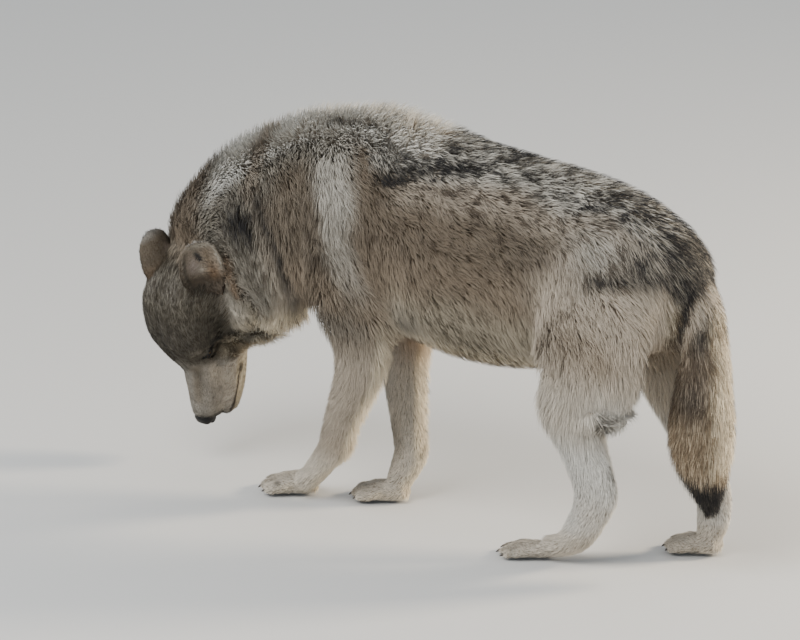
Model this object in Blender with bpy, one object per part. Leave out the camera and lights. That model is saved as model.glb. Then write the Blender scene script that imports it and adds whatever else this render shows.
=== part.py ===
"""A grey wolf standing with its head lowered, life size, as a museum's still model.

The wolf faces -Y with its left side towards +X. Lengths in the tables are centimetres on a wolf that stands
80 cm tall at the shoulder, and CM turns them into metres for the height asked for.
Flesh is lofted as tubes, merged into one body, and parted by thin cuts into pieces that a person would name.
"""

import math

import bmesh
import bpy
from mathutils import Matrix, Vector

SHOULDER_HEIGHT = 0.80  # floor to the tips of the mane over the shoulders
CM = SHOULDER_HEIGHT / 80.0
GAP = 0.0004  # between neighbouring pieces
SAW_SIDES = 32
SHARP = 50  # degrees between faces over which an edge is shaded sharp
CRUMB = 3.0  # cubic centimetres, under which a loose piece is a crumb of the cutting and is swept away
ROOM = 0.0008  # round a piece that sits in another
# Triangles that each region of the body is brought down to, and then all of it, before it is cut up.
TRIANGLES = {"rest": 1250, "feet": 900, "head": 900}
BODY_TRIANGLES = 2460
VOXEL = 0.004
SMOOTHING = 60
FIRM = 0.08  # how much of that smoothing the head and the feet take
FEET_HEIGHT = 9.0
HEAD_LENGTH_BACK = -11.0  # forward of the eyes, where the head's firmness ends
BLEND = 12.0
RING_SIDES = 28
TAIL_SIDES = 14
SMALL_SIDES = 12  # round the eyes and the nose
RINGS_PER_SPAN = 4
X_AXIS = Vector((1, 0, 0))
Z_AXIS = Vector((0, 0, 1))

# Tubes of the body: x, y, z of the middle, half width, half depth, and how much the ring swells to one side.
TRUNK = (
    (0, -43, 51, 4.0, 6.0, 0.0),
    (0, -40, 53, 8.5, 12.5, 0.0),
    (0, -34, 57.0, 12.0, 18.8, -0.05),
    (0, -26, 58.9, 14.0, 21.5, -0.12),
    (0, -16, 58.3, 15.2, 22.0, -0.10),
    (0, -4, 55.6, 15.8, 22.0, -0.05),
    (0, 8, 54.8, 15.4, 21.6, 0.0),
    (0, 20, 55.4, 14.6, 19.7, 0.05),
    (0, 30, 55.3, 14.2, 17.6, 0.05),
    (0, 38, 53.9, 12.8, 14.6, 0.05),
    (0, 44, 51.4, 10.0, 10.8, 0.0),
    (0, 47.6, 49.8, 5.0, 6.0, 0.0),
)
NECK = (
    (0, -20, 60.8, 11.0, 17.6, 0.0),
    (0, -30, 60.6, 12.4, 19.4, 0.0),
    (-0.2, -39, 57.6, 13.0, 18.8, 0.0),
    (-0.8, -47.4, 53.2, 12.6, 18.2, 0.0),
    (-2.0, -54.4, 47.3, 11.2, 18.0, 0.0),
    (-3.6, -58.8, 40.8, 9.8, 17.6, 0.0),
    (-4.4, -60.4, 34.2, 8.8, 16.2, 0.0),
    (-4.4, -60.2, 28.0, 6.8, 12.4, 0.0),
    (-4.2, -60.0, 25.4, 4.0, 6.0, 0.0),
)
TAIL = (
    (0, 40, 60.0, 3.0, 3.0, 0.0),
    (0, 44, 57.6, 4.6, 4.8, 0.0),
    (0.5, 47.5, 53.3, 5.2, 5.2, 0.0),
    (1.4, 49.3, 47.0, 5.7, 5.3, 0.0),
    (2.3, 50.2, 39.8, 6.2, 5.9, 0.0),
    (2.8, 50.6, 32.6, 6.8, 6.6, 0.0),
    (3.1, 50.8, 26.7, 6.8, 6.6, 0.0),
    (3.3, 51.5, 21.8, 5.3, 5.1, 0.0),
    (3.4, 52.6, 17.3, 3.3, 3.2, 0.0),
    (3.5, 53.4, 13.3, 1.2, 1.2, 0.0),
)
FORELEG_LEFT = (
    (6.5, -25, 62.0, 5.0, 8.0, 0.0),
    (9, -24.5, 54.0, 6.2, 10.6, 0.0),
    (10, -21.5, 44.0, 6.0, 9.9, 0.0),
    (9.6, -20.2, 36.5, 5.2, 7.6, 0.0),
    (8.8, -21.4, 30.0, 4.4, 5.9, 0.0),
    (7.8, -24.4, 23.0, 3.7, 4.7, 0.0),
    (6.8, -26.9, 17.2, 3.3, 4.1, 0.0),
    (6.3, -27.8, 14.4, 3.2, 4.1, 0.0),
    (6, -29.2, 12.0, 3.1, 3.5, 0.0),
    (5.7, -30.8, 10.1, 3.0, 3.0, 0.0),
    (5.4, -32.3, 8.2, 2.9, 2.8, 0.0),
    (5.1, -34.8, 5.2, 2.9, 2.5, 0.0),
    (5, -36.8, 3.8, 2.9, 2.4, 0.0),
)
FORELEG_RIGHT = (
    (-6.5, -25, 61.0, 5.0, 8.0, 0.0),
    (-9, -24, 54.0, 6.2, 10.6, 0.0),
    (-9.8, -21.8, 44.0, 5.9, 9.6, 0.0),
    (-9.2, -21.3, 36.5, 5.0, 7.1, 0.0),
    (-8.2, -21.3, 30.0, 4.2, 5.8, 0.0),
    (-7, -20.5, 23.5, 3.6, 5.1, 0.0),
    (-5.4, -18.8, 16.0, 3.2, 4.2, 0.0),
    (-4.4, -17.7, 11.0, 3.1, 3.8, 0.0),
    (-3.8, -18.9, 6.8, 3.0, 3.2, 0.0),
    (-3.4, -20, 4.0, 3.0, 2.6, 0.0),
)
HINDLEG_LEFT = (
    (8, 29, 61.0, 4.5, 9.0, 0.0),
    (9.8, 31.6, 54.5, 5.8, 12.2, 0.0),
    (10.8, 31.4, 47.0, 6.1, 13.2, 0.0),
    (11.2, 30.8, 40.0, 5.6, 12.6, 0.0),
    (11.2, 29.8, 35.6, 5.0, 11.2, 0.0),
    (11.1, 27.7, 31.6, 4.4, 8.7, 0.0),
    (10.9, 28.4, 27.8, 3.9, 6.7, 0.0),
    (10.7, 29.3, 24.6, 3.4, 5.6, 0.0),
    (10.6, 30.5, 21.4, 3.1, 5.0, 0.0),
    (10.4, 32, 17.2, 3.0, 4.7, 0.0),
    (10.3, 32.2, 14.6, 2.9, 4.8, 0.0),
    (10.2, 31.2, 11.2, 2.9, 4.1, 0.0),
    (10, 29.6, 8.0, 2.8, 3.8, 0.0),
    (9.9, 27.6, 5.2, 2.8, 3.3, 0.0),
    (9.9, 25.0, 3.4, 2.9, 2.5, 0.0),
    (10.1, 21.5, 2.6, 2.9, 2.1, 0.0),
)
HINDLEG_RIGHT = (
    (-8, 31, 61.0, 4.5, 9.0, 0.0),
    (-9.6, 33.4, 54.5, 5.8, 11.8, 0.0),
    (-10.4, 35, 47.0, 6.0, 12.2, 0.0),
    (-10.4, 36.4, 39.0, 5.3, 10.8, 0.0),
    (-9.9, 38.4, 31.5, 4.3, 7.6, 0.0),
    (-9.4, 41.2, 24.5, 3.4, 4.9, 0.0),
    (-9, 45, 18.6, 2.9, 4.0, 0.0),
    (-8.7, 47.1, 13.0, 2.9, 3.8, 0.0),
    (-8.5, 47.6, 8.8, 2.8, 3.6, 0.0),
    (-8.4, 47.2, 5.6, 2.8, 3.2, 0.0),
    (-8.3, 46.2, 4.0, 2.9, 2.6, 0.0),
)

# Head: the middle of the eyes, the way that the nose points and the way that the crown faces.
EYES_MIDDLE = Vector((0.9, -66.1, 24.4))
NOSE_WAY = Vector((-0.016, -0.010, -0.999))
CROWN_WAY = Vector((0.949, -0.315, -0.012))
# Rings of the head: forward of the eyes, up, half width, half height, and swell.
SKULL = (
    (14.5, -3.9, 1.8, 2.0, 0.0),
    (13.6, -3.8, 2.7, 3.1, 0.0),
    (11.0, -3.7, 3.2, 3.7, 0.0),
    (8.5, -3.7, 3.5, 4.1, 0.0),
    (5.5, -3.2, 3.6, 4.3, 0.0),
    (3.3, -2.6, 3.7, 4.2, 0.0),
    (1.3, -1.5, 4.5, 4.4, 0.0),
    (-1.0, -0.3, 5.7, 5.5, 0.0),
    (-4.0, 0.6, 7.6, 6.8, 0.0),
    (-7.5, 1.1, 9.3, 7.9, 0.0),
    (-11.0, 0.8, 9.7, 8.2, 0.0),
    (-14.5, -0.8, 8.8, 7.6, 0.0),
    (-17.5, -2.4, 6.2, 5.8, 0.0),
)
CHEEKS = (
    (4.0, -5.8, 3.6, 2.6, 0.0),
    (1.0, -6.6, 5.6, 4.2, 0.0),
    (-3.0, -7.4, 8.4, 6.2, 0.0),
    (-7.5, -7.8, 10.0, 7.4, 0.0),
    (-12.0, -7.6, 10.0, 7.4, 0.0),
    (-16.0, -6.0, 7.5, 6.0, 0.0),
)
LIPS = (
    (14.0, -5.6, 1.6, 1.6, 0.0),
    (12.5, -6.1, 2.8, 1.9, 0.0),
    (9.0, -6.2, 3.4, 2.1, 0.0),
    (5.5, -6.0, 3.7, 2.3, 0.0),
    (2.0, -6.0, 4.0, 2.6, 0.0),
)
JAW = (
    (14.0, -8.7, 1.3, 0.8, 0.0),
    (13.0, -9.2, 2.2, 1.4, 0.0),
    (9.5, -9.9, 2.9, 1.9, 0.0),
    (6.0, -10.0, 3.4, 2.3, 0.0),
    (2.0, -9.6, 4.0, 2.9, 0.0),
    (-2.0, -9.0, 4.7, 3.3, 0.0),
)
MOUTH_CORNER = (3.0, -7.9)  # forward of the eyes, up
MOUTH_FRONT = (16.0, -7.75)
MOUTH_GAPE = 0.5  # at the front
JAW_HINGE = 1.6  # forward of the eyes, where the jaw piece ends
JAW_CUT_DEPTH = -14.0
MOUTH_HALF_WIDTH = 7.0
EYE_RADIUS = 1.25
EYE_PLACE = (-1.2, 4.7, -0.2)  # forward, left, up
NOSE_PAD = (
    (15.9, -3.1, 1.3, 1.0, 0.0),
    (15.4, -3.1, 2.1, 1.7, 0.0),
    (14.3, -3.0, 2.4, 2.1, 0.0),
    (13.2, -2.7, 2.0, 1.8, 0.0),
)
EAR_LENGTH = 11.4
EAR_THICKNESS = 0.6
EAR_LEFT_ROOT = (-16.5, 10.3, 4.0)  # forward, left, up
EAR_RIGHT_ROOT = (-13.6, -5.3, 1.6)
EAR_LEFT_LEAN = 2.6  # how far the leaf swings out from its root
EAR_RIGHT_LEAN = 0.8
# Outline of an ear: distance along it, half width, and how deep its hollow is.
EAR_PROFILE = (
    (-0.2, 2.8, 1.8),
    (0.0, 3.8, 2.2),
    (0.2, 4.4, 2.2),
    (0.4, 4.6, 2.0),
    (0.6, 4.4, 1.6),
    (0.8, 3.7, 1.1),
    (0.92, 2.6, 0.6),
    (1.0, 1.1, 0.2),
)
# Ways along the ear and out of its hollow, as forward, left, up.
EAR_LEFT_WAYS = ((-0.95, 0.02, 0.25), (-0.1, 0.80, 0.58))
EAR_RIGHT_WAYS = ((-0.95, -0.08, 0.33), (0.0, -0.98, 0.12))

# Paws: forward, up, half width, half depth of the rings.
# Then each toe: side place, back, front, half width.
PAW = (
    (-4.0, 3.3, 2.5, 2.2, 0.0),
    (-1.8, 2.9, 3.1, 2.7, 0.0),
    (1.2, 2.45, 3.7, 2.45, 0.0),
    (3.6, 2.1, 3.7, 2.1, 0.0),
    (5.2, 1.8, 2.9, 1.7, 0.0),
)
TOES = ((-2.9, 0.6, 6.2, 1.45), (-1.15, 2.0, 7.8, 1.5), (1.15, 2.0, 7.8, 1.5), (2.9, 0.6, 6.2, 1.45))
TOE_SPREAD = 0.05  # share by which the toes part for each centimetre forward
CLAW_LENGTH = 1.5
CLAW_RADIUS = 0.28
CLAW_SIDES = 6
# Each foot: x and y of the pad's middle, the angle that the toes turn to the wolf's left of straight ahead,
# size, and height over its size.
FEET = {
    "fore_left": (3.5, -39.0, 14, 0.96, 0.96),
    "fore_right": (-2.4, -21.4, 14, 0.96, 0.92),
    "hind_left": (10.6, 19.8, 12, 0.92, 0.70),
    "hind_right": (-7.9, 45.6, 8, 0.92, 0.92),
}
# Hollows pressed into the skin, as forward, left, up on the head: middle, way in, depth and reach.
HOLLOWS = (
    ((-0.4, 5.5, 0.5), (-0.45, -0.75, -0.45), 0.8, 1.9),
    ((3.4, 3.6, 0.4), (-0.20, -0.80, -0.50), 0.4, 1.8),
    ((1.5, 0.0, 4.2), (-0.30, 0.0, -0.95), 0.5, 1.6),
)

# Saw cuts: middle, way across the cut, and reach.
BODY_CUTS = {
    "neck_from_head": ((-1, -60.0, 36.5), (0, -0.55, -0.84), 20),
    "chest_from_neck": ((0, -29.0, 58.0), (0, -0.944, 0.33), 25),
    "belly_from_chest": ((0, -3.0, 55.0), (0, -1, 0), 27),
    "rump_from_belly": ((0, 22.0, 54.0), (0, -0.97, 0.22), 26),
    "foreleg_left_elbow": ((9.4, -19.9, 35.0), (0, -0.2, -0.98), 9.5),
    "foreleg_left_wrist": ((6.1, -28.8, 12.6), (-0.15, -0.45, -0.88), 6.5),
    "foreleg_right_elbow": ((-9.1, -20.8, 35.0), (0, 0.05, -1), 9.0),
    "foreleg_right_wrist": ((-4.9, -17.7, 12.0), (0, 0, -1), 5.5),
    "hindleg_left_knee": ((11.2, 29.0, 33.4), (0, -0.1, -1), 12.0),
    "hindleg_left_hock": ((10.4, 31.9, 18.5), (0, 0.1, -1), 6.5),
    "hindleg_left_ankle": ((10.0, 29.4, 8.4), (0, -0.45, -0.9), 6.5),
    "hindleg_right_knee": ((-10.1, 38.0, 33.4), (0, 0.2, -0.98), 11.0),
    "hindleg_right_hock": ((-8.8, 45.0, 18.5), (0, 0.3, -0.95), 5.5),
    "hindleg_right_ankle": ((-8.2, 47.2, 8.0), (0, -0.1, -1), 6.0),
}
TAIL_CUT = ((3.4, 50.5, 24.6), (0, 0.05, -1), 11)
# A point near the middle of each piece of flesh.
SEEDS = {
    "head": (0, -66, 30),
    "jaw": (-7, -63, 18),
    "neck": (0, -46, 50),
    "chest": (0, -17, 53),
    "belly": (0, 10, 54),
    "rump": (0, 33, 50),
    "tail": (2, 49, 40),
    "tail_tip": (4, 51, 19),
    "foreleg_left": (8, -23, 23),
    "foreleg_right": (-7, -20, 22),
    "hindleg_left": (11, 30, 28),
    "hindleg_right": (-10, 40, 27),
    "hock_left": (10, 30, 13),
    "hock_right": (-8, 46, 12),
    "paw_fore_left": (5, -39, 4),
    "paw_fore_right": (-4, -21, 4),
    "paw_hind_left": (10, 20, 3),
    "paw_hind_right": (-7, 43, 3),
}

FINISH = {
    "grey_fur": ((0.30, 0.25, 0.19), 0.9),
    "pale_fur": ((0.52, 0.46, 0.37), 0.9),
    "dark_fur": ((0.10, 0.085, 0.07), 0.9),
    "nose_leather": ((0.015, 0.013, 0.013), 0.35),
    "claw_horn": ((0.05, 0.04, 0.035), 0.4),
    "eye_glass": ((0.25, 0.13, 0.03), 0.05),
}
PALE_PIECES = ("jaw", "foreleg", "hindleg", "hock", "paw")


def clear_scene():
    for leftover in list(bpy.data.objects):
        bpy.data.objects.remove(leftover, do_unlink=True)


def curve(p, q, r, s, t):
    """The height at t between q and r of the Catmull-Rom curve through p, q, r and s."""
    bend = (2 * p - 5 * q + 4 * r - s) * t * t
    twist = (3 * q - p - 3 * r + s) * t**3
    return 0.5 * (2 * q + (r - p) * t + bend + twist)


def smoothed(rows, steps_per_span=RINGS_PER_SPAN):
    """The rows with steps_per_span steps between each two, on a Catmull-Rom curve."""
    padded = [rows[0], *rows, rows[-1]]
    steps = []
    for a, b, c, d in zip(padded, padded[1:], padded[2:], padded[3:]):
        for step in range(steps_per_span):
            t = step / steps_per_span
            steps.append([curve(p, q, r, s, t) for p, q, r, s in zip(a, b, c, d)])
    return [*steps, list(rows[-1])]


def object_from(name, mesh):
    """An object named name from a bmesh, in triangles with their faces pointing out."""
    bmesh.ops.recalc_face_normals(mesh, faces=mesh.faces)
    bmesh.ops.triangulate(mesh, faces=mesh.faces)
    data = bpy.data.meshes.new(name)
    mesh.to_mesh(data)
    mesh.free()
    obj = bpy.data.objects.new(name, data)
    bpy.context.scene.collection.objects.link(obj)
    return obj


def tube(name, rows, side_way=X_AXIS, sides=RING_SIDES, box=1.0, steps_per_span=RINGS_PER_SPAN):
    """A closed tube through rings given as x, y, z, half width, half depth and swell, in centimetres.

    box under 1 squares the rings' corners.
    """
    rings = smoothed(rows, steps_per_span)
    middles = [Vector(r[:3]) for r in rings]
    mesh = bmesh.new()
    loops = []
    for i, (x, y, z, half_width, half_depth, swell) in enumerate(rings):
        along = middles[min(i + 1, len(rings) - 1)] - middles[max(i - 1, 0)]
        deep = along.cross(side_way).normalized()
        side = deep.cross(along).normalized()
        loop = []
        for k in range(sides):
            angle = 2 * math.pi * k / sides
            c, s = math.cos(angle), math.sin(angle)
            across = half_width * math.copysign(abs(c) ** box, c) * (1 + swell * s)
            height = half_depth * math.copysign(abs(s) ** box, s)
            loop.append(mesh.verts.new((middles[i] + side * across + deep * height) * CM))
        loops.append(loop)
    for low, high in zip(loops, loops[1:]):
        for k in range(sides):
            n = (k + 1) % sides
            mesh.faces.new((low[k], low[n], high[n], high[k]))
    mesh.faces.new(loops[0])
    mesh.faces.new(loops[-1])
    return object_from(name, mesh)


def head_axes():
    forward = NOSE_WAY.normalized()
    up = (CROWN_WAY - forward * CROWN_WAY.dot(forward)).normalized()
    return forward, up.cross(forward), up


FORWARD, LEFT, UP = head_axes()


def head_way(forward, left, up):
    return FORWARD * forward + LEFT * left + UP * up


def head_point(forward, left, up):
    return EYES_MIDDLE + head_way(forward, left, up)


def head_tube(name, rows, sides=RING_SIDES, box=1.0, steps_per_span=RINGS_PER_SPAN):
    placed = [(*head_point(f, 0, u), w, h, s) for f, u, w, h, s in rows]
    return tube(name, placed, LEFT, sides, box, steps_per_span)


def ball(name, centre, radius):
    mesh = bmesh.new()
    place = Matrix.Translation(centre * CM)
    bmesh.ops.create_uvsphere(mesh, u_segments=SMALL_SIDES, v_segments=8, radius=radius * CM, matrix=place)
    return object_from(name, mesh)


def ear(name, root, ways, lean):
    """A leaf of EAR_PROFILE, hollow towards the second of its two ways."""
    along, hollow = (head_way(*way).normalized() for way in ways)
    across = along.cross(hollow).normalized()
    hollow = across.cross(along).normalized()
    root = head_point(*root)
    spans = 8
    mesh = bmesh.new()
    sheets = []
    for offset in (0.0, EAR_THICKNESS):
        rows = []
        for distance, half_width, depth in smoothed(EAR_PROFILE, 1):
            row = []
            for k in range(spans + 1):
                t = 2 * k / spans - 1
                inset = max(0.0, half_width - 0.5 * offset * abs(t))
                swing = lean * min(1.0, max(0.0, 2.5 * distance))
                middle = root + along * distance * EAR_LENGTH + across * t * inset + hollow * swing
                sunk = depth * (t * t - 1) - offset * (1 - 0.5 * t * t)
                row.append(mesh.verts.new((middle + hollow * sunk) * CM))
            rows.append(row)
        sheets.append(rows)
    for rows in sheets:
        for low, high in zip(rows, rows[1:]):
            for k in range(spans):
                mesh.faces.new((low[k], low[k + 1], high[k + 1], high[k]))
    inner, outer = sheets
    for i in range(len(inner) - 1):
        for k in (0, spans):
            mesh.faces.new((inner[i][k], inner[i + 1][k], outer[i + 1][k], outer[i][k]))
    for i in (0, -1):
        for k in range(spans):
            mesh.faces.new((inner[i][k], inner[i][k + 1], outer[i][k + 1], outer[i][k]))
    return object_from(name, mesh)


def foot_ways(foot):
    x, y, angle, size, height = FEET[foot]
    turn = math.radians(angle)
    forward = Vector((math.sin(turn), -math.cos(turn), 0))
    return Vector((x, y, 0)), forward, Z_AXIS.cross(forward), size, size * height


def foot_tubes(foot):
    """The paw's body and its four toes."""
    middle, forward, left, size, high = foot_ways(foot)
    rows = []
    for f, u, w, d, swell in PAW:
        place = middle + forward * f * size + Z_AXIS * u * high
        rows.append((*place, w * size, d * high, swell))
    pieces = [tube("paw_body", rows, left)]
    for place, back, front, radius in TOES:
        reach = front - back
        rows = (
            (back, 2.6, 0.7 * radius, 0.8 * radius),
            (back + 0.30 * reach, 2.4, radius, 1.05 * radius),
            (back + 0.62 * reach, 1.9, 1.05 * radius, 1.2 * radius),
            (back + 0.88 * reach, 1.3, 0.95 * radius, 1.05 * radius),
            (front, 1.05, 0.5 * radius, 0.6 * radius),
        )
        spread = [place * (1 + TOE_SPREAD * (f - back)) for f, *_ in rows]
        placed = [
            (*(middle + (forward * f + left * a) * size + Z_AXIS * u * high), w * size, d * high, 0)
            for a, (f, u, w, d) in zip(spread, rows)
        ]
        pieces.append(tube("toe", placed, left, 16))
    return pieces


def claw(name, foot, toe):
    middle, forward, left, size, high = foot_ways(foot)
    place, back, front, _ = TOES[toe]
    spread = place * (1 + TOE_SPREAD * (front - back))
    rows = []
    for t in (0, 0.35, 0.7, 1.0):
        thick = CLAW_RADIUS * (1 - 0.75 * t)
        f = front - 0.75 + CLAW_LENGTH * t
        u = 1.75 - 0.1 * t - 0.75 * t * t
        centre = middle + (forward * f + left * spread) * size + Z_AXIS * u * high
        rows.append((*centre, thick, 1.3 * thick, 0))
    return tube(name, rows, left, CLAW_SIDES, steps_per_span=1)


def modify(obj, kind, **settings):
    """Add a modifier and apply it at once."""
    modifier = obj.modifiers.new(kind.title(), kind)
    for key, value in settings.items():
        setattr(modifier, key, value)
    bpy.context.view_layer.update()
    graph = bpy.context.evaluated_depsgraph_get()
    fresh = bpy.data.meshes.new_from_object(obj.evaluated_get(graph))
    obj.modifiers.clear()
    obj.data = fresh


def take_away(host, cutter):
    modify(host, "BOOLEAN", operation="DIFFERENCE", solver="MANIFOLD", object=cutter)
    bpy.data.objects.remove(cutter, do_unlink=True)


def seat(host, guest):
    """Cut out of host the room that guest takes, with ROOM to spare all round."""
    room = guest.copy()
    room.data = guest.data.copy()
    bpy.context.scene.collection.objects.link(room)
    modify(room, "DISPLACE", strength=ROOM, mid_level=0.0)
    take_away(host, room)


def merged(pieces):
    """One even skin over the pieces that overlap."""
    whole = bmesh.new()
    for piece in pieces:
        whole.from_mesh(piece.data)
        bpy.data.objects.remove(piece, do_unlink=True)
    body = object_from("body", whole)
    modify(body, "REMESH", mode="VOXEL", voxel_size=VOXEL)
    soft = body.vertex_groups.new(name="soft")
    for vert in body.data.vertices:
        place = vert.co / CM
        above_feet = min(1.0, max(0.0, (place.z - FEET_HEIGHT) / BLEND))
        behind_head = min(1.0, max(0.0, (HEAD_LENGTH_BACK - FORWARD.dot(place - EYES_MIDDLE)) / BLEND))
        soft.add([vert.index], FIRM + (1 - FIRM) * above_feet * behind_head, "REPLACE")
    modify(body, "SMOOTH", factor=0.5, iterations=SMOOTHING, vertex_group="soft")
    return body


def region_of(place):
    """Which region a point of the body is in, in centimetres."""
    if place.z < FEET_HEIGHT:
        return "feet"
    if FORWARD.dot(place - EYES_MIDDLE) > HEAD_LENGTH_BACK - BLEND / 2:
        return "head"
    return "rest"


def thin_out(body):
    """Collapse each region down to its own number of triangles, then the whole where it is flattest."""
    modify(body, "TRIANGULATE")
    for region in TRIANGLES:
        inside = body.vertex_groups.new(name=region)
        inside.add([v.index for v in body.data.vertices if region_of(v.co / CM) == region], 1.0, "REPLACE")
    for region, wanted in TRIANGLES.items():
        total = len(body.data.polygons)
        here = sum(region_of(face.center / CM) == region for face in body.data.polygons)
        ratio = (total - here + wanted) / total
        modify(body, "DECIMATE", ratio=ratio, vertex_group=region, vertex_group_factor=1.0)
    modify(body, "DECIMATE", ratio=BODY_TRIANGLES / len(body.data.polygons))


def level_soles(body):
    """Shave the soles flat at the floor."""
    mesh = bmesh.new()
    mesh.from_mesh(body.data)
    everything = mesh.verts[:] + mesh.edges[:] + mesh.faces[:]
    down = (0, 0, -1)
    cut = bmesh.ops.bisect_plane(mesh, geom=everything, plane_co=(0, 0, 0), plane_no=down, clear_outer=True)
    rim = [e for e in cut["geom_cut"] if isinstance(e, bmesh.types.BMEdge)]
    bmesh.ops.holes_fill(mesh, edges=rim, sides=0)
    mesh.to_mesh(body.data)
    mesh.free()


def disc(name, centre, way, radius):
    """A thin round saw cut, GAP wide."""
    mesh = bmesh.new()
    turn = Vector(way).normalized().to_track_quat("Z", "Y").to_matrix().to_4x4()
    place = Matrix.Translation(Vector(centre) * CM) @ turn
    bmesh.ops.create_cone(
        mesh,
        cap_ends=True,
        segments=SAW_SIDES,
        radius1=radius * CM,
        radius2=radius * CM,
        depth=GAP,
        matrix=place,
    )
    return object_from(name, mesh)


def mouth_cut():
    """The room between the lips, which runs back to the jaw's hinge and down through the throat's front."""
    front, corner, hinge = MOUTH_FRONT, MOUTH_CORNER, JAW_HINGE
    thin = GAP / CM
    outline = (
        (front[0], front[1] + MOUTH_GAPE / 2),
        (corner[0], corner[1] + thin / 2),
        (hinge, corner[1] + thin / 2),
        (hinge, JAW_CUT_DEPTH),
        (hinge + thin, JAW_CUT_DEPTH),
        (hinge + thin, corner[1] - thin / 2),
        (corner[0], corner[1] - thin / 2),
        (front[0], front[1] - MOUTH_GAPE / 2),
    )
    mesh = bmesh.new()
    flat = [mesh.verts.new(head_point(f, -MOUTH_HALF_WIDTH, u) * CM) for f, u in outline]
    face = mesh.faces.new(flat)
    grown = bmesh.ops.extrude_face_region(mesh, geom=[face])
    moved = [v for v in grown["geom"] if isinstance(v, bmesh.types.BMVert)]
    bmesh.ops.translate(mesh, verts=moved, vec=LEFT * 2 * MOUTH_HALF_WIDTH * CM)
    return object_from("mouth_cut", mesh)


def paint(obj, name):
    material = bpy.data.materials.new(name)
    material.use_nodes = True
    colour, roughness = FINISH[name]
    shader = material.node_tree.nodes["Principled BSDF"]
    shader.inputs["Base Color"].default_value = (*colour, 1)
    shader.inputs["Roughness"].default_value = roughness
    shader.inputs["Metallic"].default_value = 0
    material.diffuse_color = (*colour, 1)
    obj.data.materials.clear()
    obj.data.materials.append(material)
    obj.data.shade_smooth()
    obj.data.set_sharp_from_angle(angle=math.radians(SHARP))


def parted(body):
    """Name each loose piece of the body after the seed point nearest its middle, and sweep crumbs away."""
    mesh = bmesh.new()
    mesh.from_mesh(body.data)
    bpy.data.objects.remove(body, do_unlink=True)
    left_over = set(mesh.verts)
    pieces = []
    while left_over:
        island, front = set(), [next(iter(left_over))]
        while front:
            vert = front.pop()
            if vert in island:
                continue
            island.add(vert)
            front.extend(edge.other_vert(vert) for edge in vert.link_edges)
        left_over -= island
        pieces.append(island)
    made = []
    for island in pieces:
        part = bmesh.new()
        twins = {v: part.verts.new(v.co) for v in island}
        for face in {f for v in island for f in v.link_faces}:
            part.faces.new([twins[v] for v in face.verts])
        if abs(part.calc_volume()) < CRUMB * CM**3:
            part.free()
            continue
        middle = sum((v.co for v in island), Vector()) / len(island) / CM
        name = min(SEEDS, key=lambda n: (Vector(SEEDS[n]) - middle).length)
        if name in bpy.data.objects:
            raise ValueError(f"two pieces are nearest to {name}: {middle}")
        made.append(object_from(name, part))
    mesh.free()
    return made


def press_hollows(body):
    for centre, way, depth, reach in HOLLOWS:
        for side in (1, -1):
            if side < 0 and centre[1] == 0:
                continue
            middle = head_point(centre[0], side * centre[1], centre[2]) * CM
            inward = head_way(way[0], side * way[1], way[2]).normalized()
            for vert in body.data.vertices:
                near = math.exp(-(((vert.co - middle).length / (reach * CM)) ** 2))
                vert.co += inward * depth * CM * near


def finish_for(name):
    if name.startswith("claw"):
        return "claw_horn"
    if name.startswith("eye"):
        return "eye_glass"
    if name == "nose":
        return "nose_leather"
    if name == "tail_tip":
        return "dark_fur"
    return "pale_fur" if name.startswith(PALE_PIECES) else "grey_fur"


def centre_on_origin(objects):
    """Move everything so that the box round it all stands on z = 0 with its middle over the origin."""
    points = [v.co for obj in objects for v in obj.data.vertices]
    shift = Vector([-(max(p[i] for p in points) + min(p[i] for p in points)) / 2 for i in (0, 1)] + [0])
    shift.z = -min(p.z for p in points)
    for obj in objects:
        obj.data.transform(Matrix.Translation(shift))


def flesh():
    pieces = [
        tube("trunk", TRUNK),
        tube("neck", NECK),
        tube("foreleg_left", FORELEG_LEFT),
        tube("foreleg_right", FORELEG_RIGHT),
        tube("hindleg_left", HINDLEG_LEFT),
        tube("hindleg_right", HINDLEG_RIGHT),
        head_tube("skull", SKULL, box=0.85),
        head_tube("cheeks", CHEEKS),
        head_tube("lips", LIPS, box=0.8),
        head_tube("jaw", JAW, box=0.85),
    ]
    for foot in FEET:
        pieces += foot_tubes(foot)
    body = merged(pieces)
    press_hollows(body)
    thin_out(body)
    level_soles(body)
    return body


def fittings():
    """The pieces that sit in the flesh."""
    forward, left, up = EYE_PLACE
    made = [
        head_tube("nose", NOSE_PAD, SMALL_SIDES, steps_per_span=2),
        ball("eye_left", head_point(forward, left, up), EYE_RADIUS),
        ball("eye_right", head_point(forward, -left, up), EYE_RADIUS),
        ear("ear_left", EAR_LEFT_ROOT, EAR_LEFT_WAYS, EAR_LEFT_LEAN),
        ear("ear_right", EAR_RIGHT_ROOT, EAR_RIGHT_WAYS, EAR_RIGHT_LEAN),
    ]
    for foot in FEET:
        made += [claw(f"claw_{foot}_{toe + 1}", foot, toe) for toe in range(len(TOES))]
    return made


def main():
    clear_scene()
    body = flesh()
    fitted = fittings()
    for guest in fitted:
        seat(body, guest)
    tail = tube("tail", TAIL, sides=TAIL_SIDES, steps_per_span=2)
    seat(body, tail)
    for name, cut in BODY_CUTS.items():
        take_away(body, disc(name, *cut))
    take_away(body, mouth_cut())
    take_away(tail, disc("tail_cut", *TAIL_CUT))
    pieces = [*parted(body), *parted(tail), *fitted]
    centre_on_origin(pieces)
    for piece in pieces:
        paint(piece, finish_for(piece.name))


main()
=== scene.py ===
"""A grey wolf with its head lowered: skin, coat, face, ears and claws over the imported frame."""

import math
from collections import namedtuple
from types import SimpleNamespace

import bmesh
import bpy
import numpy as np
from mathutils import Matrix, Vector


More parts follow.
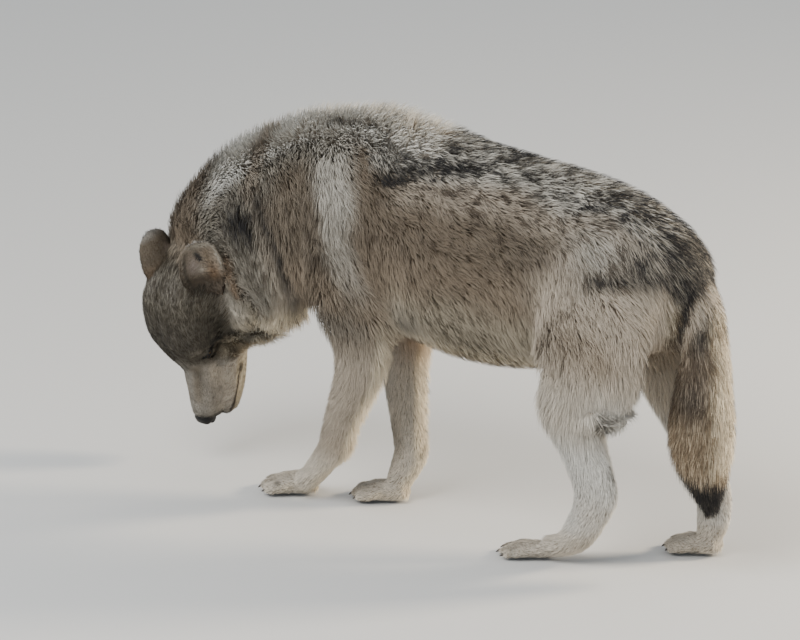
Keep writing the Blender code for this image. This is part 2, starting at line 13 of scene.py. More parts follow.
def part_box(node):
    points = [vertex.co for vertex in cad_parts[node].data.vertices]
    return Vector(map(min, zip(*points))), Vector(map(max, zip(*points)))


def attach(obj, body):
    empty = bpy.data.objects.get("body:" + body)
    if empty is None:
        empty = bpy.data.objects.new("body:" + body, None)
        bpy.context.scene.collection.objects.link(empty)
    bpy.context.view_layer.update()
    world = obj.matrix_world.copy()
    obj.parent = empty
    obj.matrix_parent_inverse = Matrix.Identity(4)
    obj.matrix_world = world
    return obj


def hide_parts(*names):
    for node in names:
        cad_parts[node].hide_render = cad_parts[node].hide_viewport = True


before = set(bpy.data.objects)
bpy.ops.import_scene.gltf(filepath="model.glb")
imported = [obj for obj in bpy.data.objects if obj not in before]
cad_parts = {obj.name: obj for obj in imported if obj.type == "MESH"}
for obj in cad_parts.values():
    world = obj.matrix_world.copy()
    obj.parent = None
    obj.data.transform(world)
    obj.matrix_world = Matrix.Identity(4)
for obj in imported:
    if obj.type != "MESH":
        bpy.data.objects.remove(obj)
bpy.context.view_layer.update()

CM = 0.01
X_AXIS = Vector((1, 0, 0))
Z_AXIS = Vector((0, 0, 1))
BOTH_SIDES = (1, -1)
SEED = 7
VOXEL = 0.0028  # metres, where the tubes are merged into one skin
SMOOTHING = 120
SMOOTHING_LEVELS = 20
FIRM = 0.08  # how much of the smoothing the head and the feet take
FEET_HEIGHT = 9.0
HEAD_BACK = -11.0
BLEND = 12.0  # over how many centimetres firm turns into soft
RING_SIDES = 40
RINGS_PER_SPAN = 4
SKIN_TRIANGLES = {"rest": 46000, "feet": 15000, "head": 32000}
ZONES = ("face", "ruff", "neck", "chest", "flank", "rump", "tail", "forelegs", "hindlegs")

# ------------------------------------------------------------------ the wolf's shape, in centimetres
# Rings: x, y, z of the middle, half width, half depth, swell.
TRUNK = (
    (0, -43, 51, 4, 6, 0), (0, -40, 53, 8.5, 12.5, 0), (0, -34, 57, 12, 18.8, -0.05),
    (0, -26, 58.9, 14, 21.5, -0.12), (0, -16, 58.3, 15.2, 22, -0.1), (0, -4, 55.6, 15.8, 22, -0.05),
    (0, 8, 54.8, 15.4, 21.6, 0), (0, 20, 55.4, 14.6, 19.7, 0.05), (0, 30, 55.3, 14.2, 17.6, 0.05),
    (0, 38, 53.9, 12.8, 14.6, 0.05), (0, 44, 51.4, 10, 10.8, 0), (0, 47.6, 49.8, 5, 6, 0),
)
NECK = (
    (0, -20, 60.8, 11, 17.6, 0), (0, -30, 60.6, 12.4, 19.4, 0), (-0.2, -39, 57.6, 13, 18.8, 0),
    (-0.8, -47.4, 53.2, 12.6, 18.2, 0), (-2, -54.4, 47.3, 11.2, 18, 0), (-3.6, -58.8, 40.8, 9.8, 17.6, 0),
    (-4.4, -60.4, 34.2, 8.8, 16.2, 0), (-4.4, -60.2, 28, 6.8, 12.4, 0), (-4.2, -60, 25.4, 4, 6, 0),
)
TAIL = (
    (0, 40, 60, 3, 3, 0), (0, 44, 57.6, 4.6, 4.8, 0), (0.5, 47.5, 53.3, 5.2, 5.2, 0),
    (1.4, 49.3, 47, 5.7, 5.3, 0), (2.3, 50.2, 39.8, 6.2, 5.9, 0), (2.8, 50.6, 32.6, 6.8, 6.6, 0),
    (3.1, 50.8, 26.7, 6.8, 6.6, 0), (3.3, 51.5, 21.8, 5.3, 5.1, 0), (3.4, 52.6, 17.3, 3.3, 3.2, 0),
    (3.5, 53.4, 13.3, 1.2, 1.2, 0),
)
FORELEG_LEFT = (
    (6.5, -25, 62, 5, 8, 0), (9, -24.5, 54, 6.2, 10.6, 0), (10, -21.5, 44, 6, 9.9, 0),
    (9.6, -20.2, 36.5, 5.2, 7.6, 0), (8.8, -21.4, 30, 4.4, 5.9, 0), (7.8, -24.4, 23, 3.7, 4.7, 0),
    (6.8, -26.9, 17.2, 3.3, 4.1, 0), (6.3, -27.8, 14.4, 3.2, 4.1, 0), (6, -29.2, 12, 3.1, 3.5, 0),
    (5.7, -30.8, 10.1, 3, 3, 0), (5.4, -32.3, 8.2, 2.9, 2.8, 0), (5.1, -34.8, 5.2, 2.9, 2.5, 0),
    (5, -36.8, 3.8, 2.9, 2.4, 0),
)
FORELEG_RIGHT = (
    (-6.5, -25, 61, 5, 8, 0), (-9, -24, 54, 6.2, 10.6, 0), (-9.8, -21.8, 44, 5.9, 9.6, 0),
    (-9.2, -21.3, 36.5, 5, 7.1, 0), (-8.2, -21.3, 30, 4.2, 5.8, 0), (-7, -20.5, 23.5, 3.6, 5.1, 0),
    (-5.4, -18.8, 16, 3.2, 4.2, 0), (-4.4, -17.7, 11, 3.1, 3.8, 0), (-3.8, -18.9, 6.8, 3, 3.2, 0),
    (-3.4, -20, 4, 3, 2.6, 0),
)
HINDLEG_LEFT = (
    (8, 29, 61, 4.5, 9, 0), (9.8, 31.6, 54.5, 5.8, 12.2, 0), (10.8, 31.4, 47, 6.1, 13.2, 0),
    (11.2, 30.8, 40, 5.6, 12.6, 0), (11.2, 29.8, 35.6, 5, 11.2, 0), (11.1, 27.7, 31.6, 4.4, 8.7, 0),
    (10.9, 28.4, 27.8, 3.9, 6.7, 0), (10.7, 29.3, 24.6, 3.4, 5.6, 0), (10.6, 30.5, 21.4, 3.1, 5, 0),
    (10.4, 32, 17.2, 3, 4.7, 0), (10.3, 32.2, 14.6, 2.9, 4.8, 0), (10.2, 31.2, 11.2, 2.9, 4.1, 0),
    (10, 29.6, 8, 2.8, 3.8, 0), (9.9, 27.6, 5.2, 2.8, 3.3, 0), (9.9, 25, 3.4, 2.9, 2.5, 0),
    (10.1, 21.5, 2.6, 2.9, 2.1, 0),
)
HINDLEG_RIGHT = (
    (-8, 31, 61, 4.5, 9, 0), (-9.6, 33.4, 54.5, 5.8, 11.8, 0), (-10.4, 35, 47, 6, 12.2, 0),
    (-10.4, 36.4, 39, 5.3, 10.8, 0), (-9.9, 38.4, 31.5, 4.3, 7.6, 0), (-9.4, 41.2, 24.5, 3.4, 4.9, 0),
    (-9, 45, 18.6, 2.9, 4, 0), (-8.7, 47.1, 13, 2.9, 3.8, 0), (-8.5, 47.6, 8.8, 2.8, 3.6, 0),
    (-8.4, 47.2, 5.6, 2.8, 3.2, 0), (-8.3, 46.2, 4, 2.9, 2.6, 0),
)
# The head's frame, and its rings: forward of the eyes, up, half width, half height.
EYES_MIDDLE = Vector((0.9, -66.1, 24.4))
FORWARD = Vector((-0.016, -0.010, -0.999)).normalized()
CROWN_WAY = Vector((0.949, -0.315, -0.012))
UP = (CROWN_WAY - FORWARD * CROWN_WAY.dot(FORWARD)).normalized()
LEFT = UP.cross(FORWARD)
SKULL = (
    (14.5, -3.9, 1.8, 2), (13.6, -3.8, 2.7, 3.1), (11, -3.7, 3.2, 3.7), (8.5, -3.7, 3.5, 4.1),
    (5.5, -3.2, 3.6, 4.3), (3.3, -2.6, 3.7, 4.2), (1.3, -1.5, 4.5, 4.4), (-1, -0.3, 5.7, 5.5),
    (-4, 0.6, 7.6, 6.8), (-7.5, 1.1, 9.3, 7.9), (-11, 0.8, 9.7, 8.2), (-14.5, -0.8, 8.8, 7.6),
    (-17.5, -2.4, 6.2, 5.8),
)
CHEEKS = (
    (4, -5.8, 3.6, 2.6), (1, -6.6, 5.6, 4.2), (-3, -7.4, 8.4, 6.2), (-7.5, -7.8, 10, 7.4),
    (-12, -7.6, 10, 7.4), (-16, -6, 7.5, 6),
)
LIPS = (
    (14, -6.2, 1.6, 2), (12.5, -7, 2.8, 2.8), (9, -7.2, 3.4, 3.2), (5.5, -7.1, 3.7, 3.3),
    (2, -6.8, 4, 3.2),
)
JAW = (
    (14, -8.7, 1.3, 0.8), (13, -9.2, 2.2, 1.4), (9.5, -9.9, 2.9, 1.9), (6, -10, 3.4, 2.3),
    (2, -9.6, 4, 2.9), (-2, -9, 4.7, 3.3),
)
NOSE_PAD = (
    (15.9, -3.1, 1.3, 1), (15.4, -3.1, 2.1, 1.7), (14.3, -3, 2.4, 2.1), (13.2, -2.7, 2, 1.8),
)
PAW = (
    (-4, 3.3, 2.5, 2.2), (-1.8, 2.9, 3.1, 2.7), (1.2, 2.45, 3.7, 2.45), (3.6, 2.1, 3.7, 2.1),
    (5.2, 1.8, 2.9, 1.7),
)
TOES = ((-2.9, 0.6, 6.2, 1.45), (-1.15, 2, 7.8, 1.5), (1.15, 2, 7.8, 1.5), (2.9, 0.6, 6.2, 1.45))
# Along a toe: share of its reach, height, then half width and half height as shares of its radius.
TOE = (
    (0, 2.6, 0.7, 0.8), (0.30, 2.4, 1, 1.05), (0.62, 1.9, 1.05, 1.2), (0.88, 1.3, 0.95, 1.05),
    (1, 1.05, 0.5, 0.6),
)
SOLE_HEIGHT = 0.02
TOE_SPREAD = 0.05
FEET = {
    "fore_left": (3.5, -39.0, 14, 0.96, 0.96),
    "fore_right": (-2.4, -21.4, 14, 0.96, 0.92),
    "hind_left": (10.6, 19.8, 12, 0.92, 0.70),
    "hind_right": (-7.9, 45.6, 8, 0.92, 0.92),
}
EYE_RADIUS = 1.25
EYE_PLACE = (-1.2, 4.7, -0.2)
EYE_WAY = (0.40, 0.82, 0.42)  # where each eye looks: forward, outward, up
MOUTH_CORNER = (5.0, -9.6)
MOUTH_FRONT = (16.0, -7.4)
MOUTH_GAPE = 0.5
MOUTH_HALF_WIDTH = 7.0

# Coat along each tube: share of the tube's length, depth over the skin and length of the tufts.
TRUNK_COAT = ((0, 3.0, 4.6), (0.3, 2.6, 3.6), (0.7, 2.4, 3.3), (1, 2.4, 3.8))
NECK_COAT = ((0, 3.0, 5.2), (0.5, 3.2, 5.2), (0.75, 2.8, 4.6), (1, 2.0, 3.6))
TAIL_COAT = ((0, 2.0, 4.4), (0.3, 2.6, 5.0), (0.7, 3.4, 5.6), (0.88, 2.2, 3.6), (1, 0.7, 1.8))
FORELEG_COAT = ((0, 2.6, 4.6), (0.3, 2.0, 3.8), (0.5, 1.2, 2.6), (0.68, 0.8, 1.8), (1, 0.55, 1.2))
HINDLEG_COAT = ((0, 2.6, 4.8), (0.3, 2.4, 4.6), (0.45, 1.8, 3.6), (0.6, 0.9, 1.9), (1, 0.55, 1.2))
SKULL_COAT = ((0, 0.2, 0.7), (0.35, 0.35, 1.15), (0.55, 0.5, 1.5), (0.8, 0.9, 2.2), (1, 1.6, 3.2))
CHEEK_COAT = ((0, 0.3, 0.9), (0.4, 1.1, 2.4), (1, 2.6, 4.6))
LIP_COAT = ((0, 0.2, 0.7), (1, 0.4, 1.3))
JAW_COAT = ((0, 0.2, 0.8), (1, 0.5, 1.8))
FOOT_COAT = ((0, 0.5, 1.2), (1, 0.3, 0.7))


def head_way(forward, left, up):
    return FORWARD * forward + LEFT * left + UP * up


def head_point(forward, left, up):
    return EYES_MIDDLE + head_way(forward, left, up)


def on_head(rows):
    """Rings given as forward, up, half width and half height, in their places on the head."""
    return [(*head_point(f, 0, u), w, h, 0) for f, u, w, h in rows]


eye_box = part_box("eye_left")
SHIFT = (eye_box[0] + eye_box[1]) / 2 - head_point(*EYE_PLACE) * CM


def curve(p, q, r, s, t):
    """The height at t between q and r of the Catmull-Rom curve through p, q, r and s."""
    bend = (2 * p - 5 * q + 4 * r - s) * t * t
    twist = (3 * q - p - 3 * r + s) * t**3
    return 0.5 * (2 * q + (r - p) * t + bend + twist)


def smoothed(rows, steps_per_span=RINGS_PER_SPAN):
    """The rows with steps_per_span steps between each two, on a Catmull-Rom curve."""
    padded = [rows[0], *rows, rows[-1]]
    steps = []
    for a, b, c, d in zip(padded, padded[1:], padded[2:], padded[3:]):
        for count in range(steps_per_span):
            t = count / steps_per_span
            steps.append([curve(p, q, r, s, t) for p, q, r, s in zip(a, b, c, d)])
    return [*steps, list(rows[-1])]


def link(name, data):
    obj = bpy.data.objects.new(name, data)
    bpy.context.scene.collection.objects.link(obj)
    return obj


def object_from(name, mesh):
    """An object named name from a bmesh, with its faces pointing out."""
    bmesh.ops.recalc_face_normals(mesh, faces=mesh.faces)
    data = bpy.data.meshes.new(name)
    mesh.to_mesh(data)
    mesh.free()
    return link(name, data)


# ------------------------------------------------------------------ tubes
Ring = namedtuple("Ring", "middle side deep along half_width half_depth way depth hair zone")
# Every ring of the body, kept for what the skin and the coat read from the nearest ones.
rings_kept = []


def ring_frames(rings, side_way):
    """Middle, way across, way through and way along for each ring."""
    middles = [Vector(ring[:3]) for ring in rings]
    last = len(rings) - 1
    for i, middle in enumerate(middles):
        along = middles[min(i + 1, last)] - middles[max(i - 1, 0)]
        deep = along.cross(side_way).normalized()
        side = deep.cross(along).normalized()
        yield middle, side, deep, along.normalized()


def tube(name, rings, side_way=X_AXIS, box=1.0, sides=RING_SIDES):
    """A closed tube through its rings, squarer where box is below 1."""
    mesh = bmesh.new()
    loops = []
    for ring, (middle, side, deep, _) in zip(rings, ring_frames(rings, side_way)):
        half_width, half_depth, swell = ring[3:]
        loop = []
        for k in range(sides):
            angle = 2 * math.pi * k / sides
            c, s = math.cos(angle), math.sin(angle)
            across = half_width * math.copysign(abs(c) ** box, c) * (1 + swell * s)
            height = half_depth * math.copysign(abs(s) ** box, s)
            loop.append(mesh.verts.new((middle + side * across + deep * height) * CM + SHIFT))
        loops.append(loop)
    for low, high in zip(loops, loops[1:]):
        for k in range(sides):
            n = (k + 1) % sides
            mesh.faces.new((low[k], low[n], high[n], high[k]))
    mesh.faces.new(loops[0])
    mesh.faces.new(loops[-1])
    return object_from(name, mesh)


def flesh(name, rows, coat, zone, side_way=X_AXIS, box=1.0, lie=1.0, sides=RING_SIDES):
    """A tube of the body, whose rings are kept with the coat that grows on them."""
    rings = smoothed(rows)
    shares, depths, hairs = zip(*coat)
    for i, (middle, side, deep, along) in enumerate(ring_frames(rings, side_way)):
        share = i / (len(rings) - 1)
        depth = np.interp(share, shares, depths)
        hair = np.interp(share, shares, hairs)
        half_width, half_depth = rings[i][3:5]
        ring = Ring(middle, side, deep, along, half_width, half_depth, along * lie, depth, hair, zone)
        rings_kept.append(ring)
    return tube(name, rings, side_way, box, sides)


def foot_ways(foot):
    """Middle, way forward, way to the left, size and height of a foot."""
    x, y, angle, size, height = FEET[foot]
    turn = math.radians(angle)
    forward = Vector((math.sin(turn), -math.cos(turn), 0))
    return Vector((x, y, 0)), forward, Z_AXIS.cross(forward), size, size * height


def foot_tubes(foot, zone):
    """A paw and its four toes."""
    middle, forward, left, size, high = foot_ways(foot)
    rows = []
    for f, u, w, d in PAW:
        rows.append((*(middle + forward * f * size + Z_AXIS * u * high), w * size, d * high, 0))
    made = [flesh("paw_body", rows, FOOT_COAT, zone, left)]
    for place, back, front, radius in TOES:
        rows = []
        for share, u, w, d in TOE:
            f = back + share * (front - back)
            a = place * (1 + TOE_SPREAD * (f - back))
            centre = middle + (forward * f + left * a) * size + Z_AXIS * u * high
            rows.append((*centre, w * radius * size, d * radius * high, 0))
        made.append(flesh("toe", rows, FOOT_COAT, zone, left, sides=20))
    return made


# ------------------------------------------------------------------ reading and measuring
def modify(obj, kind, **settings):
    """Add a modifier and apply it at once."""
    modifier = obj.modifiers.new(kind.title(), kind)
    for key, value in settings.items():
        setattr(modifier, key, value)
    bpy.context.view_layer.update()
    graph = bpy.context.evaluated_depsgraph_get()
    fresh = bpy.data.meshes.new_from_object(obj.evaluated_get(graph))
    obj.modifiers.clear()
    obj.data = fresh


def read_all(items, what, width, kind=np.float32):
    """What each item holds, as rows of width numbers."""
    flat = np.empty(len(items) * width, kind)
    items.foreach_get(what, flat)
    return flat.reshape(-1, width)


def places(mesh):
    """The mesh's points in the tables' centimetres."""
    return (read_all(mesh.vertices, "co", 3).astype(float) - np.array(SHIFT)) / CM


def put_places(mesh, points):
    mesh.vertices.foreach_set("co", (points * CM + np.array(SHIFT)).astype(np.float32).ravel())
    mesh.update()


def normals(mesh):
    return read_all(mesh.vertex_normals, "vector", 3).astype(float)


def corners(mesh):
    """The numbers of each triangle's three points."""
    return read_all(mesh.polygons, "vertices", 3, np.int32)


def in_head(points):
    """Forward, left and up on the head for each point."""
    return (points - np.array(EYES_MIDDLE)) @ np.array([FORWARD, LEFT, UP]).T


def from_head(head):
    """The other way round: points given as forward, left and up on the head."""
    return np.array(EYES_MIDDLE) + head @ np.array([FORWARD, LEFT, UP])


def unit(ways):
    """The ways, each with length 1."""
    return ways / np.maximum(np.linalg.norm(ways, axis=1), 1e-6)[:, None]


def along_skin(ways, out):
    """The ways without their share straight out of the skin."""
    return ways - out * np.einsum("ij,ij->i", ways, out)[:, None]


def step(low, high, value):
    t = np.clip((value - low) / (high - low), 0, 1)
    return t * t * (3 - 2 * t)


def bell(value, width):
    """1 at 0, falling off to either side."""
    return np.exp(-((value / width) ** 2))


def near(points, middle, reach):
    """1 at the middle, falling off with distance."""
    return np.exp(-(np.linalg.norm(points - np.array(middle), axis=1) / reach) ** 2)


def along_line(points, stops, reach):
    """1 on the line through the stops, falling off with distance from it."""
    best = np.full(len(points), 1e9)
    for a, b in zip(np.array(stops, float), np.array(stops[1:], float)):
        t = np.clip(((points - a) @ (b - a)) / ((b - a) @ (b - a)), 0, 1)
        best = np.minimum(best, np.linalg.norm(points - a - t[:, None] * (b - a), axis=1))
    return np.exp(-((best / reach) ** 2))


def on_side(points, stops, reach):
    """1 on the line through stops given as y and z, on both flanks, falling off with distance from it."""
    return along_line(points[:, 1:], stops, reach) * step(2.0, 4.5, np.abs(points[:, 0]))


def fringe(points, out, rings):
    """1 along the rear edges of the forelegs and the buttocks, where longer hairs stand out."""
    z = points[:, 2]
    legs = rings.zone["forelegs"] * step(9, 14, z) * step(44, 36, z)
    thighs = rings.zone["hindlegs"] * step(28, 32, z) * step(52, 44, z)
    return (legs + 0.35 * thighs) * step(0.45, 0.9, out[:, 1])


def throat(points, out):
    """1 along the lower edge of the ruff, where a cream fringe hangs and is painted sunlit."""
    return along_line(points, THROAT_EDGE, 3.4) * step(0.1, -0.45, out[:, 2])


# ------------------------------------------------------------------ skin
def merged(pieces):
    """One even skin over the pieces that overlap."""
    whole = bmesh.new()
    for piece in pieces:
        whole.from_mesh(piece.data)
        bpy.data.objects.remove(piece, do_unlink=True)
    body = object_from("skin", whole)
    modify(body, "REMESH", mode="VOXEL", voxel_size=VOXEL)
    points = places(body.data)
    above_feet = np.clip((points[:, 2] - FEET_HEIGHT) / BLEND, 0, 1)
    behind_head = np.clip((HEAD_BACK - in_head(points)[:, 0]) / BLEND, 0, 1)
    weights = FIRM + (1 - FIRM) * above_feet * behind_head
    soft = body.vertex_groups.new(name="soft")
    for level in range(1, SMOOTHING_LEVELS + 1):
        chosen = np.nonzero(np.ceil(weights * SMOOTHING_LEVELS) == level)[0]
        soft.add(chosen.tolist(), level / SMOOTHING_LEVELS, "REPLACE")
    modify(body, "SMOOTH", factor=0.5, iterations=SMOOTHING, vertex_group="soft")
    return body


def thin_out(body):
    """Collapse each region down to its own number of triangles."""
    modify(body, "TRIANGULATE")
    for region, wanted in SKIN_TRIANGLES.items():
        points = places(body.data)
        feet = points[:, 2] < FEET_HEIGHT
        head = (in_head(points)[:, 0] > HEAD_BACK - BLEND / 2) & ~feet & (points[:, 1] < -45)
        inside = {"feet": feet, "head": head, "rest": ~feet & ~head}[region]
        group = body.vertex_groups.new(name=region)
        group.add(np.nonzero(inside)[0].tolist(), 1.0, "REPLACE")
        here = int(inside[corners(body.data)].all(axis=1).sum())
        total = len(body.data.polygons)
        if wanted < here:
            ratio = (total - here + wanted) / total
            modify(body, "DECIMATE", ratio=ratio, vertex_group=region, vertex_group_factor=1.0)


def refine(body, middle, reach):
    """Split the faces within reach of a point."""
    mesh = bmesh.new()
    mesh.from_mesh(body.data)
    close = {v for v in mesh.verts if ((v.co - SHIFT) / CM - middle).length < reach}
    edges = [e for e in mesh.edges if e.verts[0] in close and e.verts[1] in close]
    bmesh.ops.subdivide_edges(mesh, edges=edges, cuts=1, use_grid_fill=True)
    bmesh.ops.triangulate(mesh, faces=mesh.faces)
    mesh.to_mesh(body.data)
    mesh.free()


RING_REACH = 2.5  # how far along the body a ring speaks for the skin
POINTS_AT_ONCE = 6000


def read_rings(points):
    """Way, coat depth, tuft length and zones for each point, blended from the rings that it lies nearest."""
    centre, side, deep, along = (np.array([ring[k] for ring in rings_kept], float) for k in range(4))
    wide = np.array([ring.half_width for ring in rings_kept])
    high = np.array([ring.half_depth for ring in rings_kept])
    coat = np.array([(*ring.way, ring.depth, ring.hair) for ring in rings_kept], float)
    zones = np.eye(len(ZONES))[[ZONES.index(ring.zone) for ring in rings_kept]]
    values = np.concatenate([coat, zones], axis=1)
    found = np.empty((len(points), values.shape[1]))
    for start in range(0, len(points), POINTS_AT_ONCE):
        chunk = points[start : start + POINTS_AT_ONCE]
        offset = chunk[:, None, :] - centre[None]
        a = np.einsum("ijk,jk->ij", offset, side) / wide
        b = np.einsum("ijk,jk->ij", offset, deep) / high
        c = np.einsum("ijk,jk->ij", offset, along) / RING_REACH
        far = np.abs(np.sqrt(a * a + b * b) - 1) * np.sqrt(wide * high) / 3 + np.abs(c)
        weight = 1 / (far + 0.15) ** 5
        found[start : start + POINTS_AT_ONCE] = (weight @ values) / weight.sum(axis=1, keepdims=True)
    zone = dict(zip(ZONES, found[:, 5:].T))
    return SimpleNamespace(way=found[:, 0:3], depth=found[:, 3], hair=found[:, 4], zone=zone)


def one_skin():
    """Trunk, neck, tail, legs, head and feet as tubes, merged."""
    made = [flesh("trunk", TRUNK, TRUNK_COAT, "chest"), flesh("neck", NECK, NECK_COAT, "neck", lie=-1.0)]
    made.append(flesh("tail", TAIL, TAIL_COAT, "tail"))
    for rows in (FORELEG_LEFT, FORELEG_RIGHT):
        made.append(flesh("foreleg", rows, FORELEG_COAT, "forelegs"))
    for rows in (HINDLEG_LEFT, HINDLEG_RIGHT):
        made.append(flesh("hindleg", rows, HINDLEG_COAT, "hindlegs"))
    for name, rows, coat, zone, box in (
        ("skull", SKULL, SKULL_COAT, "face", 0.85),
        ("cheeks", CHEEKS, CHEEK_COAT, "ruff", 1.0),
        ("lips", LIPS, LIP_COAT, "face", 0.8),
        ("jaw", JAW, JAW_COAT, "face", 0.85),
    ):
        made.append(flesh(name, on_head(rows), coat, zone, LEFT, box))
    for foot in FEET:
        made += foot_tubes(foot, "forelegs" if foot.startswith("fore") else "hindlegs")
    return merged(made)


# Hollows and swellings of the head, each on both sides: middle as forward, left, up; way; how far; reach.
MODELLING = (
    ((0.6, 5.2, 1.2), (-0.45, -0.75, -0.45), 0.5, 1.6),  # eye sockets
    ((3.4, 3.6, 0.4), (-0.2, -0.8, -0.5), 0.4, 1.8),  # below the inner corners
    ((1.5, 0.0, 4.2), (-0.3, 0.0, -0.95), 0.5, 1.8),  # stop
    ((-3.6, 3.4, 6.4), (0.1, 0.3, 0.9), 0.35, 2.4),  # brows
    ((9.0, 3.4, -6.2), (0.0, 0.9, -0.2), 0.35, 2.2),  # upper lips
    ((4.0, 3.9, -3.6), (0.0, -1.0, 0.0), 0.3, 2.0),  # side of the muzzle
    ((-3.0, 8.6, -2.6), (0.0, 0.9, 0.0), 0.4, 3.0),  # cheekbones
)
# The crease between the ruff and the shoulder, upward: y and z of points along it.
CREASE = (
    (-43.5, 33), (-41.7, 35.8), (-39.2, 40), (-38.6, 43.6), (-38.8, 48.5), (-40, 53.2), (-42.3, 58.1),
    (-43.6, 61), (-45, 63),
)
# Folds pressed into the body on both sides: y and z of points along the fold, depth, reach.
FOLDS = (
    (CREASE[-2:0:-1], 0.8, 0.9),
    (((19.5, 66), (21.5, 61), (20.5, 56), (19, 50), (17.5, 45)), 1.1, 2.4),
    (((-15, 46), (-13, 51), (-12.5, 56)), 0.7, 2.6),
    (((45.5, 55), (47, 48), (46.5, 40)), 0.9, 1.8),
)
FOREHEAD_FURROW = ((1.0, 0, 4.6), (-5, 0, 7.0), (-12, 0, 8.4))


def model_head(points):
    """Sockets, stop, brows, lips, cheekbones and the forehead's furrow."""
    head = in_head(points)
    moved = head.copy()
    for middle, way, far, reach in MODELLING:
        for side in BOTH_SIDES:
            if side < 0 and middle[1] == 0:
                continue
            centre = np.array((middle[0], middle[1] * side, middle[2]))
            push = np.array((way[0], way[1] * side, way[2]))
            push = push / np.linalg.norm(push) * far
            moved += near(head, centre, reach)[:, None] * push
    moved[:, 2] -= 0.4 * along_line(head, FOREHEAD_FURROW, 0.9)
    return from_head(moved)


def eye_frame(side):
    """Middle of the eyeball, the way it looks, the way along its lids outwards, and across them."""
    middle = head_point(EYE_PLACE[0], side * EYE_PLACE[1], EYE_PLACE[2])
    look = head_way(EYE_WAY[0], side * EYE_WAY[1], EYE_WAY[2]).normalized()
    back = head_way(LID_WAY[0], side * LID_WAY[1], LID_WAY[2])
    slit = (back - look * back.dot(look)).normalized()
    across = look.cross(slit) * side
    return middle, look, slit, across


LID_WAY = (-0.85, 0.42, -0.32)  # from the inner corner of the eye to the outer one
SLIT_HALF_LENGTH = 1.6
SLIT_HALF_HEIGHT = 0.09
LID_THICKNESS = 0.12
LID_REACH = 1.9
LID_RIM = 0.09  # how far the rim of the lids stands up
OPENING_DEPTH = 0.22  # how far under the eyeball's surface the skin lies between the lids


def from_eye(points, side):
    """How far along the slit, up across it and out of the head each point lies from the eyeball's middle."""
    middle, look, slit, across = eye_frame(side)
    return ((points - np.array(middle)) @ np.array((slit, across, look)).T).T


def slit_distance(points, side):
    """How far outside the slit between the lids each point lies, in centimetres, and how far along it."""
    along, up, out = from_eye(points, side)
    half = SLIT_HALF_HEIGHT * np.clip(1 - (along / SLIT_HALF_LENGTH) ** 2, 0, 1)
    outside = np.hypot(np.maximum(np.abs(up) - half, 0), np.maximum(np.abs(along) - SLIT_HALF_LENGTH, 0))
    return np.where(np.abs(out - 1) < 2.5, outside, 9.0), along


def model_lids(points):
    """Draw the skin over each eyeball as lids with a narrow slit between them."""
    for side in BOTH_SIDES:
        look = np.array(eye_frame(side)[1])
        along, up, out = from_eye(points, side)
        far = np.hypot(along, up)
        outside, _ = slit_distance(points, side)
        ball = np.sqrt(np.maximum(EYE_RADIUS**2 - far**2, 0))
        lid = np.sqrt(np.maximum((EYE_RADIUS + LID_THICKNESS) ** 2 - far**2, 0))
        lid += LID_RIM * bell(outside - 0.16, 0.14)
        close = step(1.35, 0.85, far)
        wanted = lid * close + np.maximum(lid, out) * (1 - close)
        wanted = np.where(outside < 0.03, np.minimum(wanted, ball - OPENING_DEPTH), wanted)
        amount = step(LID_REACH, EYE_RADIUS, far) * (np.abs(out) < 3.0)
        points = points + look * (amount * (wanted - out))[:, None]
    return points


def mouth_cut():
    """The room between the lips."""
    outline = (
        (MOUTH_FRONT[0], MOUTH_FRONT[1] + MOUTH_GAPE / 2),
        (MOUTH_CORNER[0], MOUTH_CORNER[1] + 0.02),
        (MOUTH_CORNER[0], MOUTH_CORNER[1] - 0.02),
        (MOUTH_FRONT[0], MOUTH_FRONT[1] - MOUTH_GAPE / 2),
    )
    mesh = bmesh.new()
    flat = [mesh.verts.new(head_point(f, -MOUTH_HALF_WIDTH, u) * CM + SHIFT) for f, u in outline]
    face = mesh.faces.new(flat)
    grown = bmesh.ops.extrude_face_region(mesh, geom=[face])
    moved = [v for v in grown["geom"] if isinstance(v, bmesh.types.BMVert)]
    bmesh.ops.translate(mesh, verts=moved, vec=LEFT * 2 * MOUTH_HALF_WIDTH * CM)
    bmesh.ops.triangulate(mesh, faces=mesh.faces)
    return object_from("mouth_cut", mesh)


def mouth_line(head):
    """How far above the middle of the mouth each point lies, and half the mouth's height there."""
    share = np.clip((head[:, 0] - MOUTH_CORNER[0]) / (MOUTH_FRONT[0] - MOUTH_CORNER[0]), 0, 1)
    middle = MOUTH_CORNER[1] + share * (MOUTH_FRONT[1] - MOUTH_CORNER[1])
    return head[:, 2] - middle, share * MOUTH_GAPE / 2


# Where the skin is split finer: how far round each eye, one after the other; then places along the mouth.
FINE_AT_EYES = (3.2, 2.5, 2.1)
FINE_AT_MOUTH = ((5, 0, -7.8), (8, 0, -7.8), (11, 0, -7.8), (14, 0, -7.8))
MOUTH_REACH = 3.6


def build_skin():
    """The one skin: merged, modelled, and cut open at the mouth."""
    body = one_skin()
    thin_out(body)
    for side in BOTH_SIDES:
        middle, look, _, _ = eye_frame(side)
        for reach in FINE_AT_EYES:
            refine(body, middle + look * 0.8, reach)
    for place in FINE_AT_MOUTH:
        refine(body, head_point(*place), MOUTH_REACH)
    points = places(body.data)
    out = normals(body.data)
    rings = read_rings(points)
    depth = rings.depth + 0.8 * fringe(points, out, rings)
    points -= out * depth[:, None]
    points = model_head(points)
    for stops, far, reach in FOLDS:
        points -= out * (far * on_side(points, stops, reach))[:, None]
    points = model_lids(points)
    points[:, 2] = np.maximum(points[:, 2], SOLE_HEIGHT)
    put_places(body.data, points)
    cutter = mouth_cut()
    modify(body, "BOOLEAN", operation="DIFFERENCE", solver="MANIFOLD", object=cutter)
    bpy.data.objects.remove(cutter, do_unlink=True)
    modify(body, "TRIANGULATE")
    return body




